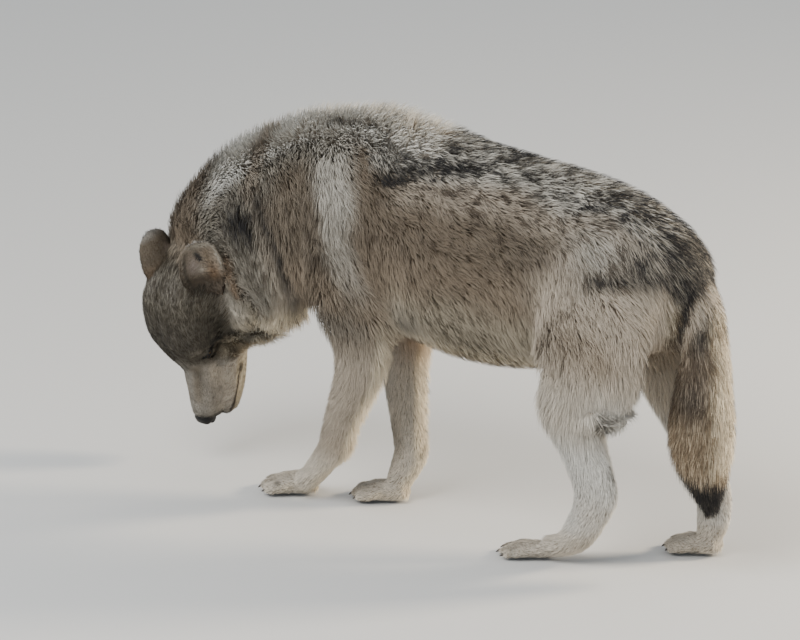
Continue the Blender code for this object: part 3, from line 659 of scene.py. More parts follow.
# ------------------------------------------------------------------ markings
WHITE = np.array((0.67, 0.625, 0.54))
SNOW = np.array((0.78, 0.75, 0.68))
CREAM = np.array((0.60, 0.535, 0.44))
# Painted light: cream fur as lit by a low sun from behind, laid on rims and edges.
SUNLIT_CREAM = np.array((0.80, 0.69, 0.51))
PALE = np.array((0.53, 0.447, 0.35))
BUFF = np.array((0.58, 0.46, 0.32))
GREY = np.array((0.30, 0.27, 0.22))
ASH = np.array((0.17, 0.15, 0.12))
BROWN_GREY = np.array((0.21, 0.165, 0.118))
BROWN = np.array((0.17, 0.137, 0.10))
TAN = np.array((0.33, 0.19, 0.095))
BLACK = np.array((0.016, 0.014, 0.014))
BELLY = (0.42, 0.36, 0.27)
FACE = (0.17, 0.15, 0.115)
BROW = (0.185, 0.166, 0.135)
CROWN = (0.30, 0.275, 0.235)
CHEEK = (0.36, 0.32, 0.26)
CHEEK_STREAK = (0.70, 0.64, 0.54)
LIT_UNDER_CHEEK = (0.46, 0.42, 0.345)
MUZZLE = (0.35, 0.32, 0.275)
MUZZLE_STREAK = (0.21, 0.17, 0.12)
BRIDGE = (0.13, 0.108, 0.08)
UPPER_LIP = (0.46, 0.42, 0.36)
CHIN = (0.60, 0.52, 0.385)
UNDER_EYE = (0.38, 0.31, 0.215)
UPPER_LID = (0.34, 0.30, 0.24)
LIT_JAW_SIDE = (0.38, 0.33, 0.255)
LIP_EDGE = (0.04, 0.026, 0.02)
MOUTH_PINK = (0.09, 0.035, 0.03)

# Edges: places along the body, and the height there.
SADDLE_EDGE = (
    (-23, -17, -10, -3, 6, 19, 32, 39, 44, 49, 52), (82, 73, 71, 72, 71, 70, 68.5, 67, 64.5, 58, 50),
)
SKYLINE = ((-60, -50, -40, -34, -26, -16, -8, 0), (56, 66.5, 74.5, 77.5, 80, 79.8, 78.2, 76))
# Along the body: share of dark tips on the saddle, depth of the mane's cream rim.
SADDLE_TIPS = ((-12, 0, 20, 32), (0.66, 0.50, 0.42, 0.58))
MANE_RIM = ((-60, -50, -38), (2.4, 3.0, 5.0))
# By height: middle, half width and whiteness of the shoulder band, and how black the painted shadow in the
# crease is.
BAND_MIDDLE = ((44, 48, 52, 57, 65, 73, 78), (-18.5, -20, -22, -24, -24, -26.3, -28))
BAND_HALF_WIDTH = ((44, 57, 65, 76), (3.4, 3.2, 4.6, 5.2))
BAND_WHITENESS = ((44, 50, 58, 66), (0.0, 0.45, 0.65, 1.0))
CREASE_SHADOW = ((40, 46), (0.6, 1.7))
# Lines of the body: x, y and z of points along them, on both sides.
SADDLE_ARC = ((7, -16.5, 78.2), (8.1, -13.5, 77), (9.5, -11.5, 75.6), (10.4, -9.6, 74.2))
SADDLE_BAND = ((13, -15, 70.6), (12.1, -9.8, 71.8), (10.6, -6.3, 73.1), (8.9, -2.9, 74.2), (8, 3, 74))
MANE_FURROW = ((5, -31, 78), (5.3, -26.8, 78.6), (5.8, -20.7, 78.6), (6.5, -17, 77.8))
HAUNCH_BAR = ((14.5, 32.5, 58), (13.7, 38.4, 58.2), (11, 42.2, 58.4), (8.7, 45, 59))
THIGH_DASH = ((16.3, 26.3, 41.2), (16.4, 27.8, 39.4), (16.2, 29, 37.6))
UPPER_DASH = ((15.8, 26.3, 51.6), (16.2, 25.9, 47.7))
# Lines of the head: forward, left and up.
STREAK_LINE = ((-12.6, 9.8, -0.6), (-10.7, 9.9, -1.5), (-9.4, 12.1, -2.7), (-6.8, 13.3, -4.7))
FOREHEAD_FURROW_SHADE = ((1.5, 0, 4.8), (-5, 0, 8.2), (-11, 0, 9.6))
RUST_LINE = ((-23.5, 14.6, 3.7), (-17.6, 14.1, 1.7), (-16.2, 14.6, 0.9), (-13.8, 13.7, -0.6))
MUZZLE_LINE = ((10, 1.7, 0.2), (6.6, 2.0, 0.4), (3, 2.6, 1.2))
BRIDGE_LINE = ((3, 1.2, 2.2), (0.5, 1.6, 4.0), (-2.5, 2.2, 6.0))
SMEAR_LINE = ((-3.6, 7.2, 0.4), (-5.2, 8.9, -0.8), (-5.1, 9.2, -2.7), (-5.3, 10.2, -3.5))
UNDER_CHEEK_LINE = (
    (-3.4, 9.8, -5.6), (-5.2, 12.1, -4.9), (-5.8, 13.5, -5.8), (-6.2, 14.9, -6.8), (-4.8, 15, -9.6),
)
# On the body: x, y and z of points along the ruff's lower edge.
THROAT_EDGE = ((-3, -58, 25), (-2.5, -52, 29.5), (-2, -49, 32.5), (-1.5, -46, 36), (-1, -43, 39))
# Spots of the feet: x, y, z and reach.
JOINT_WASHES = ((6.5, -26.5, 13, 3.4), (-6.3, -16.5, 12, 2.4), (11.5, 32.5, 11, 4), (-8.5, 50, 12, 4))
FOOT_MARKS = (
    (-2.0, -18.6, 6.0, 0.8), (-3.3, -14.3, 10.5, 0.5), (7.9, -41.4, 3.0, 0.7), (14.2, 16.4, 1.8, 0.7),
    (-0.4, -25.6, 2.6, 0.6),
)
# Whisker dots: row and column of each on the upper lip.
WHISKER_DOTS = ((0, 0), (0, 1), (0, 2), (1, 0), (1, 1), (1, 2), (2, 1))


def noise_at(points, scale, seed=0):
    """Smooth noise from -1 to 1, made of a few waves."""
    rng = np.random.default_rng(seed)
    total = np.zeros(len(points))
    for _ in range(10):
        way = rng.normal(size=3)
        total += np.sin(points @ (way * scale) + rng.uniform(0, 6.3))
    return total / 4.5


def behind_crease(points):
    """How far behind the crease each point lies, and how much of the crease there is at its height."""
    y, z = points[:, 1], points[:, 2]
    crease_y, crease_z = np.array(CREASE).T
    there = step(34, 37, z) * step(64.5, 60, z) * step(-62, -56, y)
    return y - np.interp(z, crease_z, crease_y), there


class Paint:
    """The coat's colour on its outside, and the share of tufts with dark tips, as they are laid on."""

    def __init__(self, count):
        self.colour = np.tile(BROWN_GREY, (count, 1))
        self.tip = np.full(count, 0.14)

    def lay(self, colour, amount, tip=0.0):
        amount = np.clip(amount, 0, 1)
        self.colour = self.colour + (np.asarray(colour) - self.colour) * amount[:, None]
        self.tip = self.tip + (tip - self.tip) * amount


def paint_body(paint, points, rings, wobble):
    x, y, z = points.T
    half = np.stack([np.abs(x), y, z], 1)
    # Flank, belly and underside.
    paint.lay(BROWN_GREY * 1.36, step(60, 52, z + wobble) * step(-20, -12, y), 0.10)
    paint.lay(BROWN, near(half, (13.5, 19, 62), 5.5) * 0.8 + near(half, (13, 8, 62), 6) * 0.35, 0.22)
    paint.lay(BROWN, near(half, (14.5, 20.5, 55.5), 3.6) * 0.6, 0.15)
    paint.lay(BELLY, step(52, 44, z + wobble) * step(-16, -10, y) * step(24, 18, y), 0.04)
    # Painted light: the belly's lower edge in sunlit cream over pale fur, as if lit from behind.
    paint.lay(SUNLIT_CREAM, step(40.5, 36, z) * step(-14, -8, y) * step(30, 24, y) * 0.9)
    # Saddle: cream flecked with black behind the withers, with a paler band below it.
    above = z - np.interp(y, *SADDLE_EDGE) + wobble * 0.9
    saddle = step(-1.6, 1.2, above) * step(-22, -18, y + wobble)
    paint.lay(PALE * 0.78, step(-7, -2.5, above) * step(-16, -8, y), 0.34)
    paint.lay(WHITE * 0.92, saddle, np.interp(y, *SADDLE_TIPS))
    paint.lay(ASH * 1.2, near(half, (4, 46, 64), 5.0) * 0.4, 0.6)
    dark = along_line(half, SADDLE_ARC, 1.3) + along_line(half, SADDLE_BAND, 1.3)
    paint.lay(ASH * 0.8, dark * 0.85, 0.95)
    # Crest of the mane: cream up to the skyline, with one dark furrow below it.
    below = np.interp(y, *SKYLINE) - z
    paint.lay(GREY * 1.1, step(11, 6, below) * step(-64, -58, y) * step(-24, -30, y), 0.16)
    rim = np.interp(y, *MANE_RIM)
    crest = step(rim, 0.3 * rim, below + wobble * 0.4) * step(-62, -54, y) * step(-3, -10, y)
    paint.lay(SNOW * 1.15, crest, 0.04)
    paint.lay(BROWN * 0.8, along_line(half, MANE_FURROW, 0.8) * 0.75, 0.5)
    # Neck behind the crease, the ruff before it, and the dark mottling at its top.
    behind, there = behind_crease(points)
    on_neck = step(-19, -23, y) * step(40, 44, z) * step(4, 9, below)
    paint.lay(BROWN * 1.2, on_neck, 0.18)
    paint.lay(BROWN_GREY * 1.4, on_neck * step(54, 47, z), 0.08)
    before = step(0.6, -0.6, behind) * there + step(60, 63, z) * step(-38, -44, y)
    paint.lay(GREY * 1.12, before * step(3, 7, below), 0.22)
    paint.lay(PALE * 0.78, before * step(-5.5, -1.5, behind) * step(2, -1, behind), 0.14)
    mottle = near(half, (11.5, -49.7, 57.5), 4.8) + near(half, (12, -45.9, 55), 4.2)
    paint.lay(ASH * 0.8, mottle * 0.55, 0.66)
    # Shoulder band, white from the withers to the elbow.
    across = (y - np.interp(z, *BAND_MIDDLE) + wobble * 0.6) / np.interp(z, *BAND_HALF_WIDTH)
    band = step(1.45, 0.5, np.abs(across)) * step(1.5, 4, below) * np.interp(z, *BAND_WHITENESS)
    paint.lay(WHITE * 0.9, band * 0.9, 0.10)
    # Haunch and thigh.
    haunch = step(17, 22, y + wobble * 0.6) * step(60, 55, z) * (1 - rings.zone["tail"])
    paint.lay(PALE, haunch, 0.05)
    paint.lay(WHITE * 0.78, near(half, (13, 32, 62.5), 6) * 0.85, 0.28)
    paint.lay(PALE * 0.9, near(half, (12, 27, 58), 4.5) * 0.7, 0.12)
    paint.lay(GREY, near(half, (10, 42, 62), 4.2) * 0.8, 0.5)
    paint.lay(ASH * 1.1, along_line(half, HAUNCH_BAR, 1.5) * 0.85, 0.5)
    wash = near(half, (15.5, 29, 45.5), 4) * 0.6 + near(half, (15, 35.5, 43.4), 3) * 0.8
    paint.lay(BROWN_GREY * 1.5, wash, 0.08)
    paint.lay(ASH * 0.5, along_line(half, THIGH_DASH, 0.35) + 0.7 * along_line(half, UPPER_DASH, 0.3))


def paint_legs(paint, points, out, rings):
    x, _, z = points.T
    fore = rings.zone["forelegs"] * step(49, 40, z)
    hind = rings.zone["hindlegs"]
    paint.lay(GREY * 0.85, fore * step(34, 42, z), 0.08)
    paint.lay(PALE * 0.84, fore * step(41, 33, z))
    paint.lay(CREAM, fore * step(41, 33, z) * step(1, -1, x))
    paint.lay(CREAM * 1.1, fore * step(14, 8, z))
    # Painted light: the rear side of each foreleg in sunlit cream, a rim of sunlight from behind.
    paint.lay(SUNLIT_CREAM, fore * step(0.3, 0.85, out[:, 1]) * step(46, 36, z) * 0.85)
    paint.lay(CREAM * 1.02, hind * step(42, 34, z))
    paint.lay(SNOW, hind * step(30, 22, z))
    paint.lay(CREAM * 1.05, hind * step(9, 5, z))
    paint.lay(TAN * 1.3, near(points, (-6, -18.5, 33), 4.5) * (x < -2) * 0.55)
    # Painted light: the underside of the ledge behind the left knee painted snow-white over its pale fringe,
    # to lift the shadow under it.
    paint.lay(SNOW, near(points, (10.9, 36.5, 31.5), 4.5))
    # A grey-brown wash round the joints, and small dark marks on the feet.
    for colour, amount, spots in ((BROWN_GREY * 2.1, 0.35, JOINT_WASHES), (ASH * 0.5, 0.9, FOOT_MARKS)):
        total = sum(near(points, (px, py, pz), reach) for px, py, pz, reach in spots)
        paint.lay(colour, total * amount)
    paint.lay(BLACK * 2.4, step(0.9, 0.4, z) * step(-0.2, -0.7, out[:, 2]))


def paint_tail(paint, points, out, rings, wobble):
    z = points[:, 2]
    tail = step(0.35, 0.75, rings.zone["tail"])
    paint.lay(GREY, tail, 0.45)
    paint.lay(BUFF * (0.70, 0.70, 0.74), tail * step(51, 43, z), 0.30)
    paint.lay(BUFF * 1.1, tail * step(37, 30, z), 0.22)
    paint.lay(GREY * 0.9, tail * near(points, (6.5, 50.5, 36), 4.5) * 0.45, 0.5)
    # Painted light: the rear right side of the tail in sunlit cream, a rim of sunlight from behind.
    rear = step(0.15, 0.7, out @ np.array((-0.45, 0.89, 0))) * step(57, 52, z) * step(20, 24, z)
    paint.lay(SUNLIT_CREAM * 1.08, tail * rear, 0.12)
    paint.lay(GREY * 0.6, near(np.abs(points), (4.4, 49.8, 58.0), 3.6) * 0.8, 0.5)
    paint.lay(GREY * 0.6, tail * near(points, (4.2, 50.5, 51.0), 4.0) * 0.6, 0.45)
    paint.lay(ASH * 0.55, tail * step(22.2, 19.8, z + wobble * 0.5), 0.85)


def paint_head(paint, points, skin, out, wobble):
    f, l, u = in_head(points).T
    half = np.stack([f, np.abs(l), u], 1)
    here = step(-23, -18, f) * (points[:, 1] < -48) * (points[:, 2] < 52)
    paint.lay(FACE, here, 0.26)
    paint.lay(BROW, here * near(half, (-5, 4.5, 5), 5.5), 0.26)
    paint.lay(CHEEK, here * step(0.5, -2.5, u + 0.32 * (f + 8) + wobble * 0.2) * step(3, -1, f), 0.02)
    paint.lay(GREY * 1.1, here * step(-12, -17, f) * step(2, -3, u), 0.22)
    paint.lay(CHEEK_STREAK, along_line(half, STREAK_LINE, 1.8) * here, 0.04)
    paint.lay(CROWN, near(half, (-14.5, 3.5, 8.6), 2.6) * 0.7 * here, 0.2)
    # Painted shade along the furrow down the middle of the forehead.
    paint.lay(ASH * 0.75, here * along_line(half, FOREHEAD_FURROW_SHADE, 0.8) * 0.7, 0.3)
    paint.lay(TAN, along_line(half, RUST_LINE, 1.0) * 0.8, 0.05)
    paint.lay(BROWN, near(half, (-13.5, 11.5, 2.6), 1.8) * 0.6, 0.25)
    paint.lay(CREAM * 0.8, here * step(-7.6, -9.2, u) * step(4, 0, f))
    # Painted light: the cream fringe under the ruff painted as lit by the sun from behind.
    paint.lay(SUNLIT_CREAM * 0.95, throat(skin, out) * 1.3)
    # Muzzle: pale, with a brown streak along each side and a darker bridge.
    muzzle = here * step(0.2, 3.2, f)
    paint.lay(MUZZLE, muzzle, 0.05)
    paint.lay(MUZZLE_STREAK, muzzle * along_line(half, MUZZLE_LINE, 1.25) * 0.75, 0.08)
    paint.lay(BRIDGE, along_line(half, BRIDGE_LINE, 0.8) * 0.7 * here, 0.1)
    paint.lay(UPPER_LIP, muzzle * step(-4.6, -6.2, u) * 0.8)
    paint.lay(CHIN, here * step(-7.9, -8.9, u) * step(-3, 0, f))
    # Round the eye: brown below, a pale upper lid, and a dark smear behind the outer corner.
    paint.lay(UNDER_EYE, near(half, (-1.6, 6.6, -3.0), 2.1) * 0.85)
    paint.lay(UPPER_LID, near(half, (-1.8, 5.6, 2.6), 1.1) * 0.85)
    paint.lay(ASH * 0.22, along_line(half, SMEAR_LINE, 0.8) * 1.2)
    paint.lay(ASH * 0.6, near(half, (-7.0, 8.8, 0.9), 1.7) * 0.55 * here, 0.1)
    paint.colour = paint.colour * (1 + 0.16 * here * noise_at(points, 1.7, 5))[:, None]
    # Painted light: pale fur on the side of the jaw and under the cheek, painted paler still to lift the
    # shade below the eye and between the ruff and the jaw.
    paint.lay(LIT_JAW_SIDE, near(half, (-0.5, 6.2, -6.0), 1.9) * 0.8 * here)
    paint.lay(LIT_UNDER_CHEEK, along_line(half, UNDER_CHEEK_LINE, 1.5) * 0.85 * here)
    return here


def paint_lids_and_lips(paint, skin, out, here):
    """What is painted on the skin itself; says which points lie inside the mouth."""
    head = in_head(skin)
    for side in BOTH_SIDES:
        outside, run = slit_distance(skin, side)
        paint.lay(BLACK, step(0.42, 0.16, outside))
        paint.lay(BLACK * 1.5, step(0.8, 0.25, outside) * step(1.2, 1.9, np.abs(run)))
    dots = np.zeros(len(skin))
    for row, column in WHISKER_DOTS:
        dots += near(np.abs(head), (12.4 - 1.2 * column, 3.0, 2.6 + 0.9 * row), 0.24)
    paint.lay(ASH * 0.5, dots * 0.75 * (head[:, 2] < 0))
    above, gap = mouth_line(head)
    from_edge = np.abs(above) - gap
    lips = step(0.42, 0.12, from_edge) * here * step(MOUTH_CORNER[0] - 1.2, MOUTH_CORNER[0], head[:, 0])
    paint.lay(LIP_EDGE, lips * 0.95)
    inside = (np.abs(from_edge) < 0.03) & (np.abs(out @ np.array(UP)) > 0.8)
    inside &= (head[:, 0] > MOUTH_CORNER[0]) & (here > 0.5)
    paint.lay(MOUTH_PINK, inside.astype(float))
    return inside


def markings(points, skin, out, rings):
    """For tufts that end at points: colour, share of dark tips, bare places and nearness of the crease."""
    wobble = noise_at(points, 0.16, 1) * 1.6 + noise_at(points, 0.45, 2) * 0.7
    paint = Paint(len(points))
    paint_body(paint, points, rings, wobble)
    paint_legs(paint, points, out, rings)
    paint_tail(paint, points, out, rings, wobble)
    here = paint_head(paint, points, skin, out, wobble)
    inside = paint_lids_and_lips(paint, skin, out, here)
    middle = np.interp(skin[:, 2], (34, 48, 56), (-4.2, -2, -0.5))
    sideways = step(1.5, 3.5, np.abs(skin[:, 0] - middle))
    behind, there = behind_crease(points)
    there = there * sideways
    # Painted shadow in the crease where the ruff overhangs the shoulder: a soft dark band behind it and a
    # black line along it.
    paint.lay(ASH * 0.8, bell(behind + 0.9, 1.1) * there * 0.5, 0.1)
    paint.lay(BLACK, bell(behind, 0.7) * there * np.interp(points[:, 2], *CREASE_SHADOW))
    crease = bell(behind_crease(skin)[0], 2.2) * there
    bare = inside | ((skin[:, 2] < 1.0) & (out[:, 2] < -0.3))
    return np.clip(paint.colour, 0, 1), np.clip(paint.tip, 0, 1), bare, crease


# ------------------------------------------------------------------ the lie of the coat
# Along the body: how steeply the coat hangs. By height: how the hair beside the crease leans back.
COAT_FALL = ((-62, -50, -38, -24, -12, 8, 22, 32, 44), (0.2, 0.9, 1.5, 1.1, 0.45, 0.35, 0.5, 0.9, 1.0))
CREASE_LEAN = ((36, 40, 45, 50, 55, 60), (-0.5, -0.2, 0.0, 0.2, 0.42, 0.5))
THIGH_LEDGE = (10.9, 39.0, 34.5)


def smooth_over(mesh, values, times):
    """Average the values with those of neighbouring points, several times over."""
    a, b = read_all(mesh.edges, "vertices", 2, np.int32).T
    size = len(values)
    count = np.bincount(a, minlength=size) + np.bincount(b, minlength=size) + 1.0
    for _ in range(times):
        total = values.copy()
        for k in range(values.shape[1]):
            total[:, k] += np.bincount(a, values[b, k], size) + np.bincount(b, values[a, k], size)
        values = total / count[:, None]
    return values


def store(mesh, **attributes):
    """Keep numbers or vectors at the mesh's points, by name."""
    for name, values in attributes.items():
        values = np.asarray(values, np.float32)
        kind, what = ("FLOAT", "value") if values.ndim == 1 else ("FLOAT_VECTOR", "vector")
        mesh.attributes.new(name, kind, "POINT").data.foreach_set(what, values.ravel())


def flow_of(points, out, rings):
    """Which way the coat lies at each point of the skin, and how far it stands up."""
    y, z = points[:, 1], points[:, 2]
    way = rings.way.copy()
    body = rings.zone["chest"] + rings.zone["neck"]
    way[:, 2] -= np.interp(y, *COAT_FALL) * body
    way[:, 1] += 0.25 * body * step(-55, -45, y)
    behind, there = behind_crease(points)
    beside = step(9, 1, np.abs(behind + 2)) * there
    hang = np.stack([np.zeros(len(z)), np.interp(z, *CREASE_LEAN), -np.ones(len(z))], 1)
    way += (hang * 2.5 - way) * beside[:, None]
    way = unit(along_skin(way, out)) * (1 + 2.5 * beside)[:, None]
    upward = step(0.3, 0.85, out[:, 2]) * step(-4, -14, y) * step(-66, -58, y) * step(44, 52, z)
    return way, upward


def dress(body):
    """Give the skin its colours and everything that the coat reads; returns each point's zone and place."""
    mesh = body.data
    points = places(mesh)
    head = in_head(points)
    out = normals(mesh)
    rings = read_rings(points)
    calm = unit(smooth_over(mesh, out, 12))
    way, upward = flow_of(points, calm, rings)
    way = smooth_over(mesh, way, 10)
    depth, hair = rings.depth, rings.hair
    rear = fringe(points, calm, rings)
    lie = 1 - 0.45 * upward - 0.3 * rear
    stand = 1.2 * upward + 0.9 * rear
    for root, _, _ in EARS.values():
        inward = -math.copysign(2.9, root[1])
        beside = near(head, (root[0] + 1.5, root[1] + inward, root[2] + 1.4), 2.4)
        hair += 1.4 * beside
        stand += beside
    stand += 2.0 * throat(points, calm)
    hair *= 1 - 0.68 * near(points, THIGH_LEDGE, 4.2)
    # A tuft shows most of itself some way from its root, so it takes the colour of that place.
    ends = points + calm * (0.8 * depth)[:, None] + unit(way) * (0.4 * hair * lie)[:, None]
    colour, tip, bare, crease = markings(ends, points, out, rings)
    for side in BOTH_SIDES:
        outside, _ = slit_distance(points, side)
        close = step(1.8, 0.2, outside)
        hair *= 1 - 0.72 * close
        depth *= 1 - 0.8 * close
        bare |= outside < 0.10
    bare |= near(head, (15.2, 0, -3.1), 2.3) > 0.62
    above, gap = mouth_line(head)
    on_muzzle = (head[:, 0] > MOUTH_CORNER[0]) & (points[:, 2] < 24) & (points[:, 1] < -50)
    bare |= (np.abs(above) - gap < 0.10) & on_muzzle
    hair *= 1 + 0.5 * rear
    behind, there = behind_crease(points)
    hair *= 1 - 0.35 * there * step(7, 1, np.abs(behind + 2))
    grain = rings.zone["face"] + rings.zone["tail"] + 0.1 * step(64, 68, points[:, 2])
    store(
        mesh,
        pelt=colour,
        tipped=tip,
        cover=1.0 - bare,
        loose=1 - 0.92 * crease,
        skin_way=calm,
        flow=way,
        lie=lie,
        stand=stand * CM,
        depth=depth * CM,
        hair=hair * CM,
        grain=np.clip(grain, 0, 1),
    )
    shares = np.stack([rings.zone[name] for name in ZONES], 1)
    return np.array(ZONES)[shares.argmax(axis=1)], points


# ------------------------------------------------------------------ nodes
def add(tree, kind, ins=None, **settings):
    """Add a node, set its properties, and link or fill its inputs by name or place."""
    node = tree.nodes.new(kind)
    for key, value in settings.items():
        setattr(node, key, value)
    for key, value in (ins or {}).items():
        socket = node.inputs[key]
        if isinstance(value, bpy.types.NodeSocket):
            tree.links.new(value, socket)
        else:
            socket.default_value = value
    return node


WAY = "FLOAT_VECTOR"


class Sums:
    """Short ways to write the maths of a node tree."""

    def __init__(self, tree):
        self.tree = tree

    def add(self, kind, ins=None, **settings):
        return add(self.tree, kind, ins, **settings).outputs

    def maths(self, operation, a, b=0.0):
        return self.add("ShaderNodeMath", {0: a, 1: b}, operation=operation)[0]

    def times(self, a, b):
        return self.maths("MULTIPLY", a, b)

    def plus(self, a, b):
        return self.maths("ADD", a, b)

    def less(self, a, b):
        return self.maths("SUBTRACT", a, b)

    def power(self, a, b):
        return self.maths("POWER", a, b)

    def ways(self, operation, a, b=(0, 0, 0)):
        outputs = self.add("ShaderNodeVectorMath", {0: a, 1: b}, operation=operation)
        return outputs["Value" if operation == "DOT_PRODUCT" else "Vector"]

    def scaled(self, a, factor):
        return self.add("ShaderNodeVectorMath", {0: a, "Scale": factor}, operation="SCALE")["Vector"]

    def moved(self, a, way, factor):
        """a, moved along way by factor."""
        return self.ways("ADD", a, self.scaled(way, factor))

    def along_skin(self, way, out):
        """The way without its share straight out of the skin."""
        return self.ways("SUBTRACT", way, self.scaled(out, self.ways("DOT_PRODUCT", way, out)))

    def split(self, vector):
        return self.add("ShaderNodeSeparateXYZ", {0: vector})

    def joined(self, x, y, z):
        return self.add("ShaderNodeCombineXYZ", {0: x, 1: y, 2: z})[0]

    def noise(self, place, scale, detail):
        return self.add("ShaderNodeTexNoise", {"Vector": place, "Scale": scale, "Detail": detail})

    def ramp(self, value, low, high):
        """0 at low and 1 at high, smoothly."""
        ins = {"Value": value, "From Min": low, "From Max": high, "To Min": 0.0, "To Max": 1.0}
        return self.add("ShaderNodeMapRange", ins, interpolation_type="SMOOTHSTEP")["Result"]

    def place(self):
        return self.add("GeometryNodeInputPosition")[0]

    def read(self, name, kind="FLOAT"):
        return self.add("GeometryNodeInputNamedAttribute", {"Name": name}, data_type=kind)["Attribute"]

    def write(self, geometry, name, value, kind="FLOAT", domain="POINT"):
        ins = {"Geometry": geometry, "Name": name, "Value": value}
        return self.add("GeometryNodeStoreNamedAttribute", ins, data_type=kind, domain=domain)[0]

    def put(self, geometry, place):
        return self.add("GeometryNodeSetPosition", {"Geometry": geometry, "Position": place})[0]


COAT_INPUTS = {
    "Density": ("NodeSocketFloat", 1000.0),
    "Width": ("NodeSocketFloat", 0.002),
    "Lock Size": ("NodeSocketFloat", 0.012),
    "Lock Pull": ("NodeSocketFloat", 0.4),
    "Stray": ("NodeSocketFloat", 0.15),
    "Rows": ("NodeSocketInt", 4),
    "Seed": ("NodeSocketInt", 1),
    "Material": ("NodeSocketMaterial", None),
}
# No tip of the coat passes these: out to either side, and down to the floor.
COAT_HALF_WIDTH = 0.177
FLOOR_GAP = 0.0004
BAKE_PATCH = 0.003  # the size of a tuft on the skin's unwrap
# Locks of two sizes: size, and share of the pull towards the middle of the lock.
LOCKS = ((1.0, 1.0), (2.8, 0.6))


def scattered(m, given):
    """Points over the skin where coat grows, each with its root, place on the unwrap and chances."""
    density = m.times(given["Density"], m.read("cover"))
    ins = {"Mesh": given["Geometry"], "Density": density, "Seed": given["Seed"]}
    points = m.add("GeometryNodeDistributePointsOnFaces", ins)["Points"]
    points = m.write(points, "root", m.place(), WAY)
    points = m.write(points, "patch", m.read("OFBake", WAY), WAY)
    for name, seed in (("chance", 11), ("other_chance", 12)):
        chance = m.add("FunctionNodeRandomValue", {"Seed": seed}, data_type="FLOAT")[1]
        points = m.write(points, name, chance)
    ins = {0: (-1, -1, -1), 1: (1, 1, 1), "Seed": 13}
    return m.write(points, "stray_way", m.add("FunctionNodeRandomValue", ins, data_type=WAY)[0], WAY)


def straight_blade(m, rows):
    """A flat blade, 1 wide at its foot and 1 long, that narrows to a point."""
    grid = m.add("GeometryNodeMeshGrid", {"Size X": 1.0, "Size Y": 1.0, "Vertices X": 2, "Vertices Y": rows})
    x, y, _ = m.split(m.place())
    t = m.plus(y, 0.5)
    narrow = m.less(1.0, m.power(t, 1.6))
    blade = m.put(grid["Mesh"], m.joined(m.times(x, narrow), t, 0.0))
    blade = m.add("GeometryNodeMergeByDistance", {"Geometry": blade, "Distance": 0.001})[0]
    return m.write(blade, "blade", m.place(), WAY)


def bent_over(m, given, across, t):
    """Where each point of a tuft goes: up from its root, over along the coat, and in towards its lock."""
    root, stray = m.read("root", WAY), m.read("stray_way", WAY)
    out = m.ways("NORMALIZE", m.read("skin_way", WAY))
    first, second, loose = m.read("chance"), m.read("other_chance"), m.read("loose")
    wave = m.ways("SUBTRACT", m.noise(root, 16.0, 1.0)["Color"], (0.5, 0.5, 0.5))
    flow = m.moved(m.read("flow", WAY), wave, m.times(loose, 1.1))
    flow = m.moved(flow, stray, m.times(loose, given["Stray"]))
    flow = m.ways("NORMALIZE", m.along_skin(flow, out))
    roll = m.times(m.less(second, 0.5), 1.4)
    side = m.scaled(m.ways("CROSS_PRODUCT", out, flow), m.maths("COSINE", roll))
    side = m.moved(side, out, m.maths("SINE", roll))
    rise = m.less(1.0, m.power(m.less(1.0, t), 1.8))
    tall = m.times(m.times(m.read("depth"), m.plus(m.times(first, 0.45), 0.58)), rise)
    tall = m.plus(tall, m.times(m.times(m.read("stand"), first), m.power(t, 1.5)))
    length = m.times(m.times(m.read("hair"), m.read("lie")), m.plus(m.times(second, 0.5), 0.62))
    place = m.moved(root, out, tall)
    place = m.moved(place, flow, m.times(length, m.power(t, 1.2)))
    place = m.moved(place, side, m.times(across, given["Width"]))
    for size, share in LOCKS:
        cell = m.times(given["Lock Size"], size)
        ins = {"Vector": m.ways("DIVIDE", root, m.joined(cell, cell, cell)), "Scale": 1.0}
        middle = m.scaled(m.add("ShaderNodeTexVoronoi", ins)["Position"], cell)
        pull = m.along_skin(m.ways("SUBTRACT", middle, root), out)
        amount = m.times(m.times(m.times(given["Lock Pull"], share), loose), m.power(t, 1.5))
        place = m.moved(place, pull, amount)
    x, y, z = m.split(place)
    x = m.maths("MAXIMUM", m.maths("MINIMUM", x, COAT_HALF_WIDTH), -COAT_HALF_WIDTH)
    return m.joined(x, y, m.maths("MAXIMUM", z, FLOOR_GAP))


def coat_tree():
    """Tufts over a patch of skin: tapered blades that rise and bend over to lie along the coat."""
    tree = bpy.data.node_groups.new("coat", "GeometryNodeTree")
    tree.interface.new_socket("Geometry", in_out="INPUT", socket_type="NodeSocketGeometry")
    tree.interface.new_socket("Geometry", in_out="OUTPUT", socket_type="NodeSocketGeometry")
    for name, (kind, value) in COAT_INPUTS.items():
        socket = tree.interface.new_socket(name, in_out="INPUT", socket_type=kind)
        if value is not None:
            socket.default_value = value
    given = tree.nodes.new("NodeGroupInput").outputs
    m = Sums(tree)
    blades = {"Points": scattered(m, given), "Instance": straight_blade(m, given["Rows"])}
    tufts = m.add("GeometryNodeInstanceOnPoints", blades)[0]
    tufts = m.add("GeometryNodeRealizeInstances", {"Geometry": tufts})[0]
    across, t, _ = m.split(m.read("blade", WAY))
    tufts = m.put(tufts, bent_over(m, given, across, t))
    on_patch = m.joined(m.times(across, BAKE_PATCH), m.times(m.less(t, 0.5), BAKE_PATCH), 0.0)
    patch = m.ways("ADD", m.read("patch", WAY), on_patch)
    tufts = m.write(tufts, "OFBake", patch, "FLOAT2", "CORNER")
    tufts = m.add("GeometryNodeSetMaterial", {"Geometry": tufts, "Material": given["Material"]})[0]
    result = tree.nodes.new("NodeGroupOutput")
    tree.links.new(tufts, result.inputs[0])
    return tree


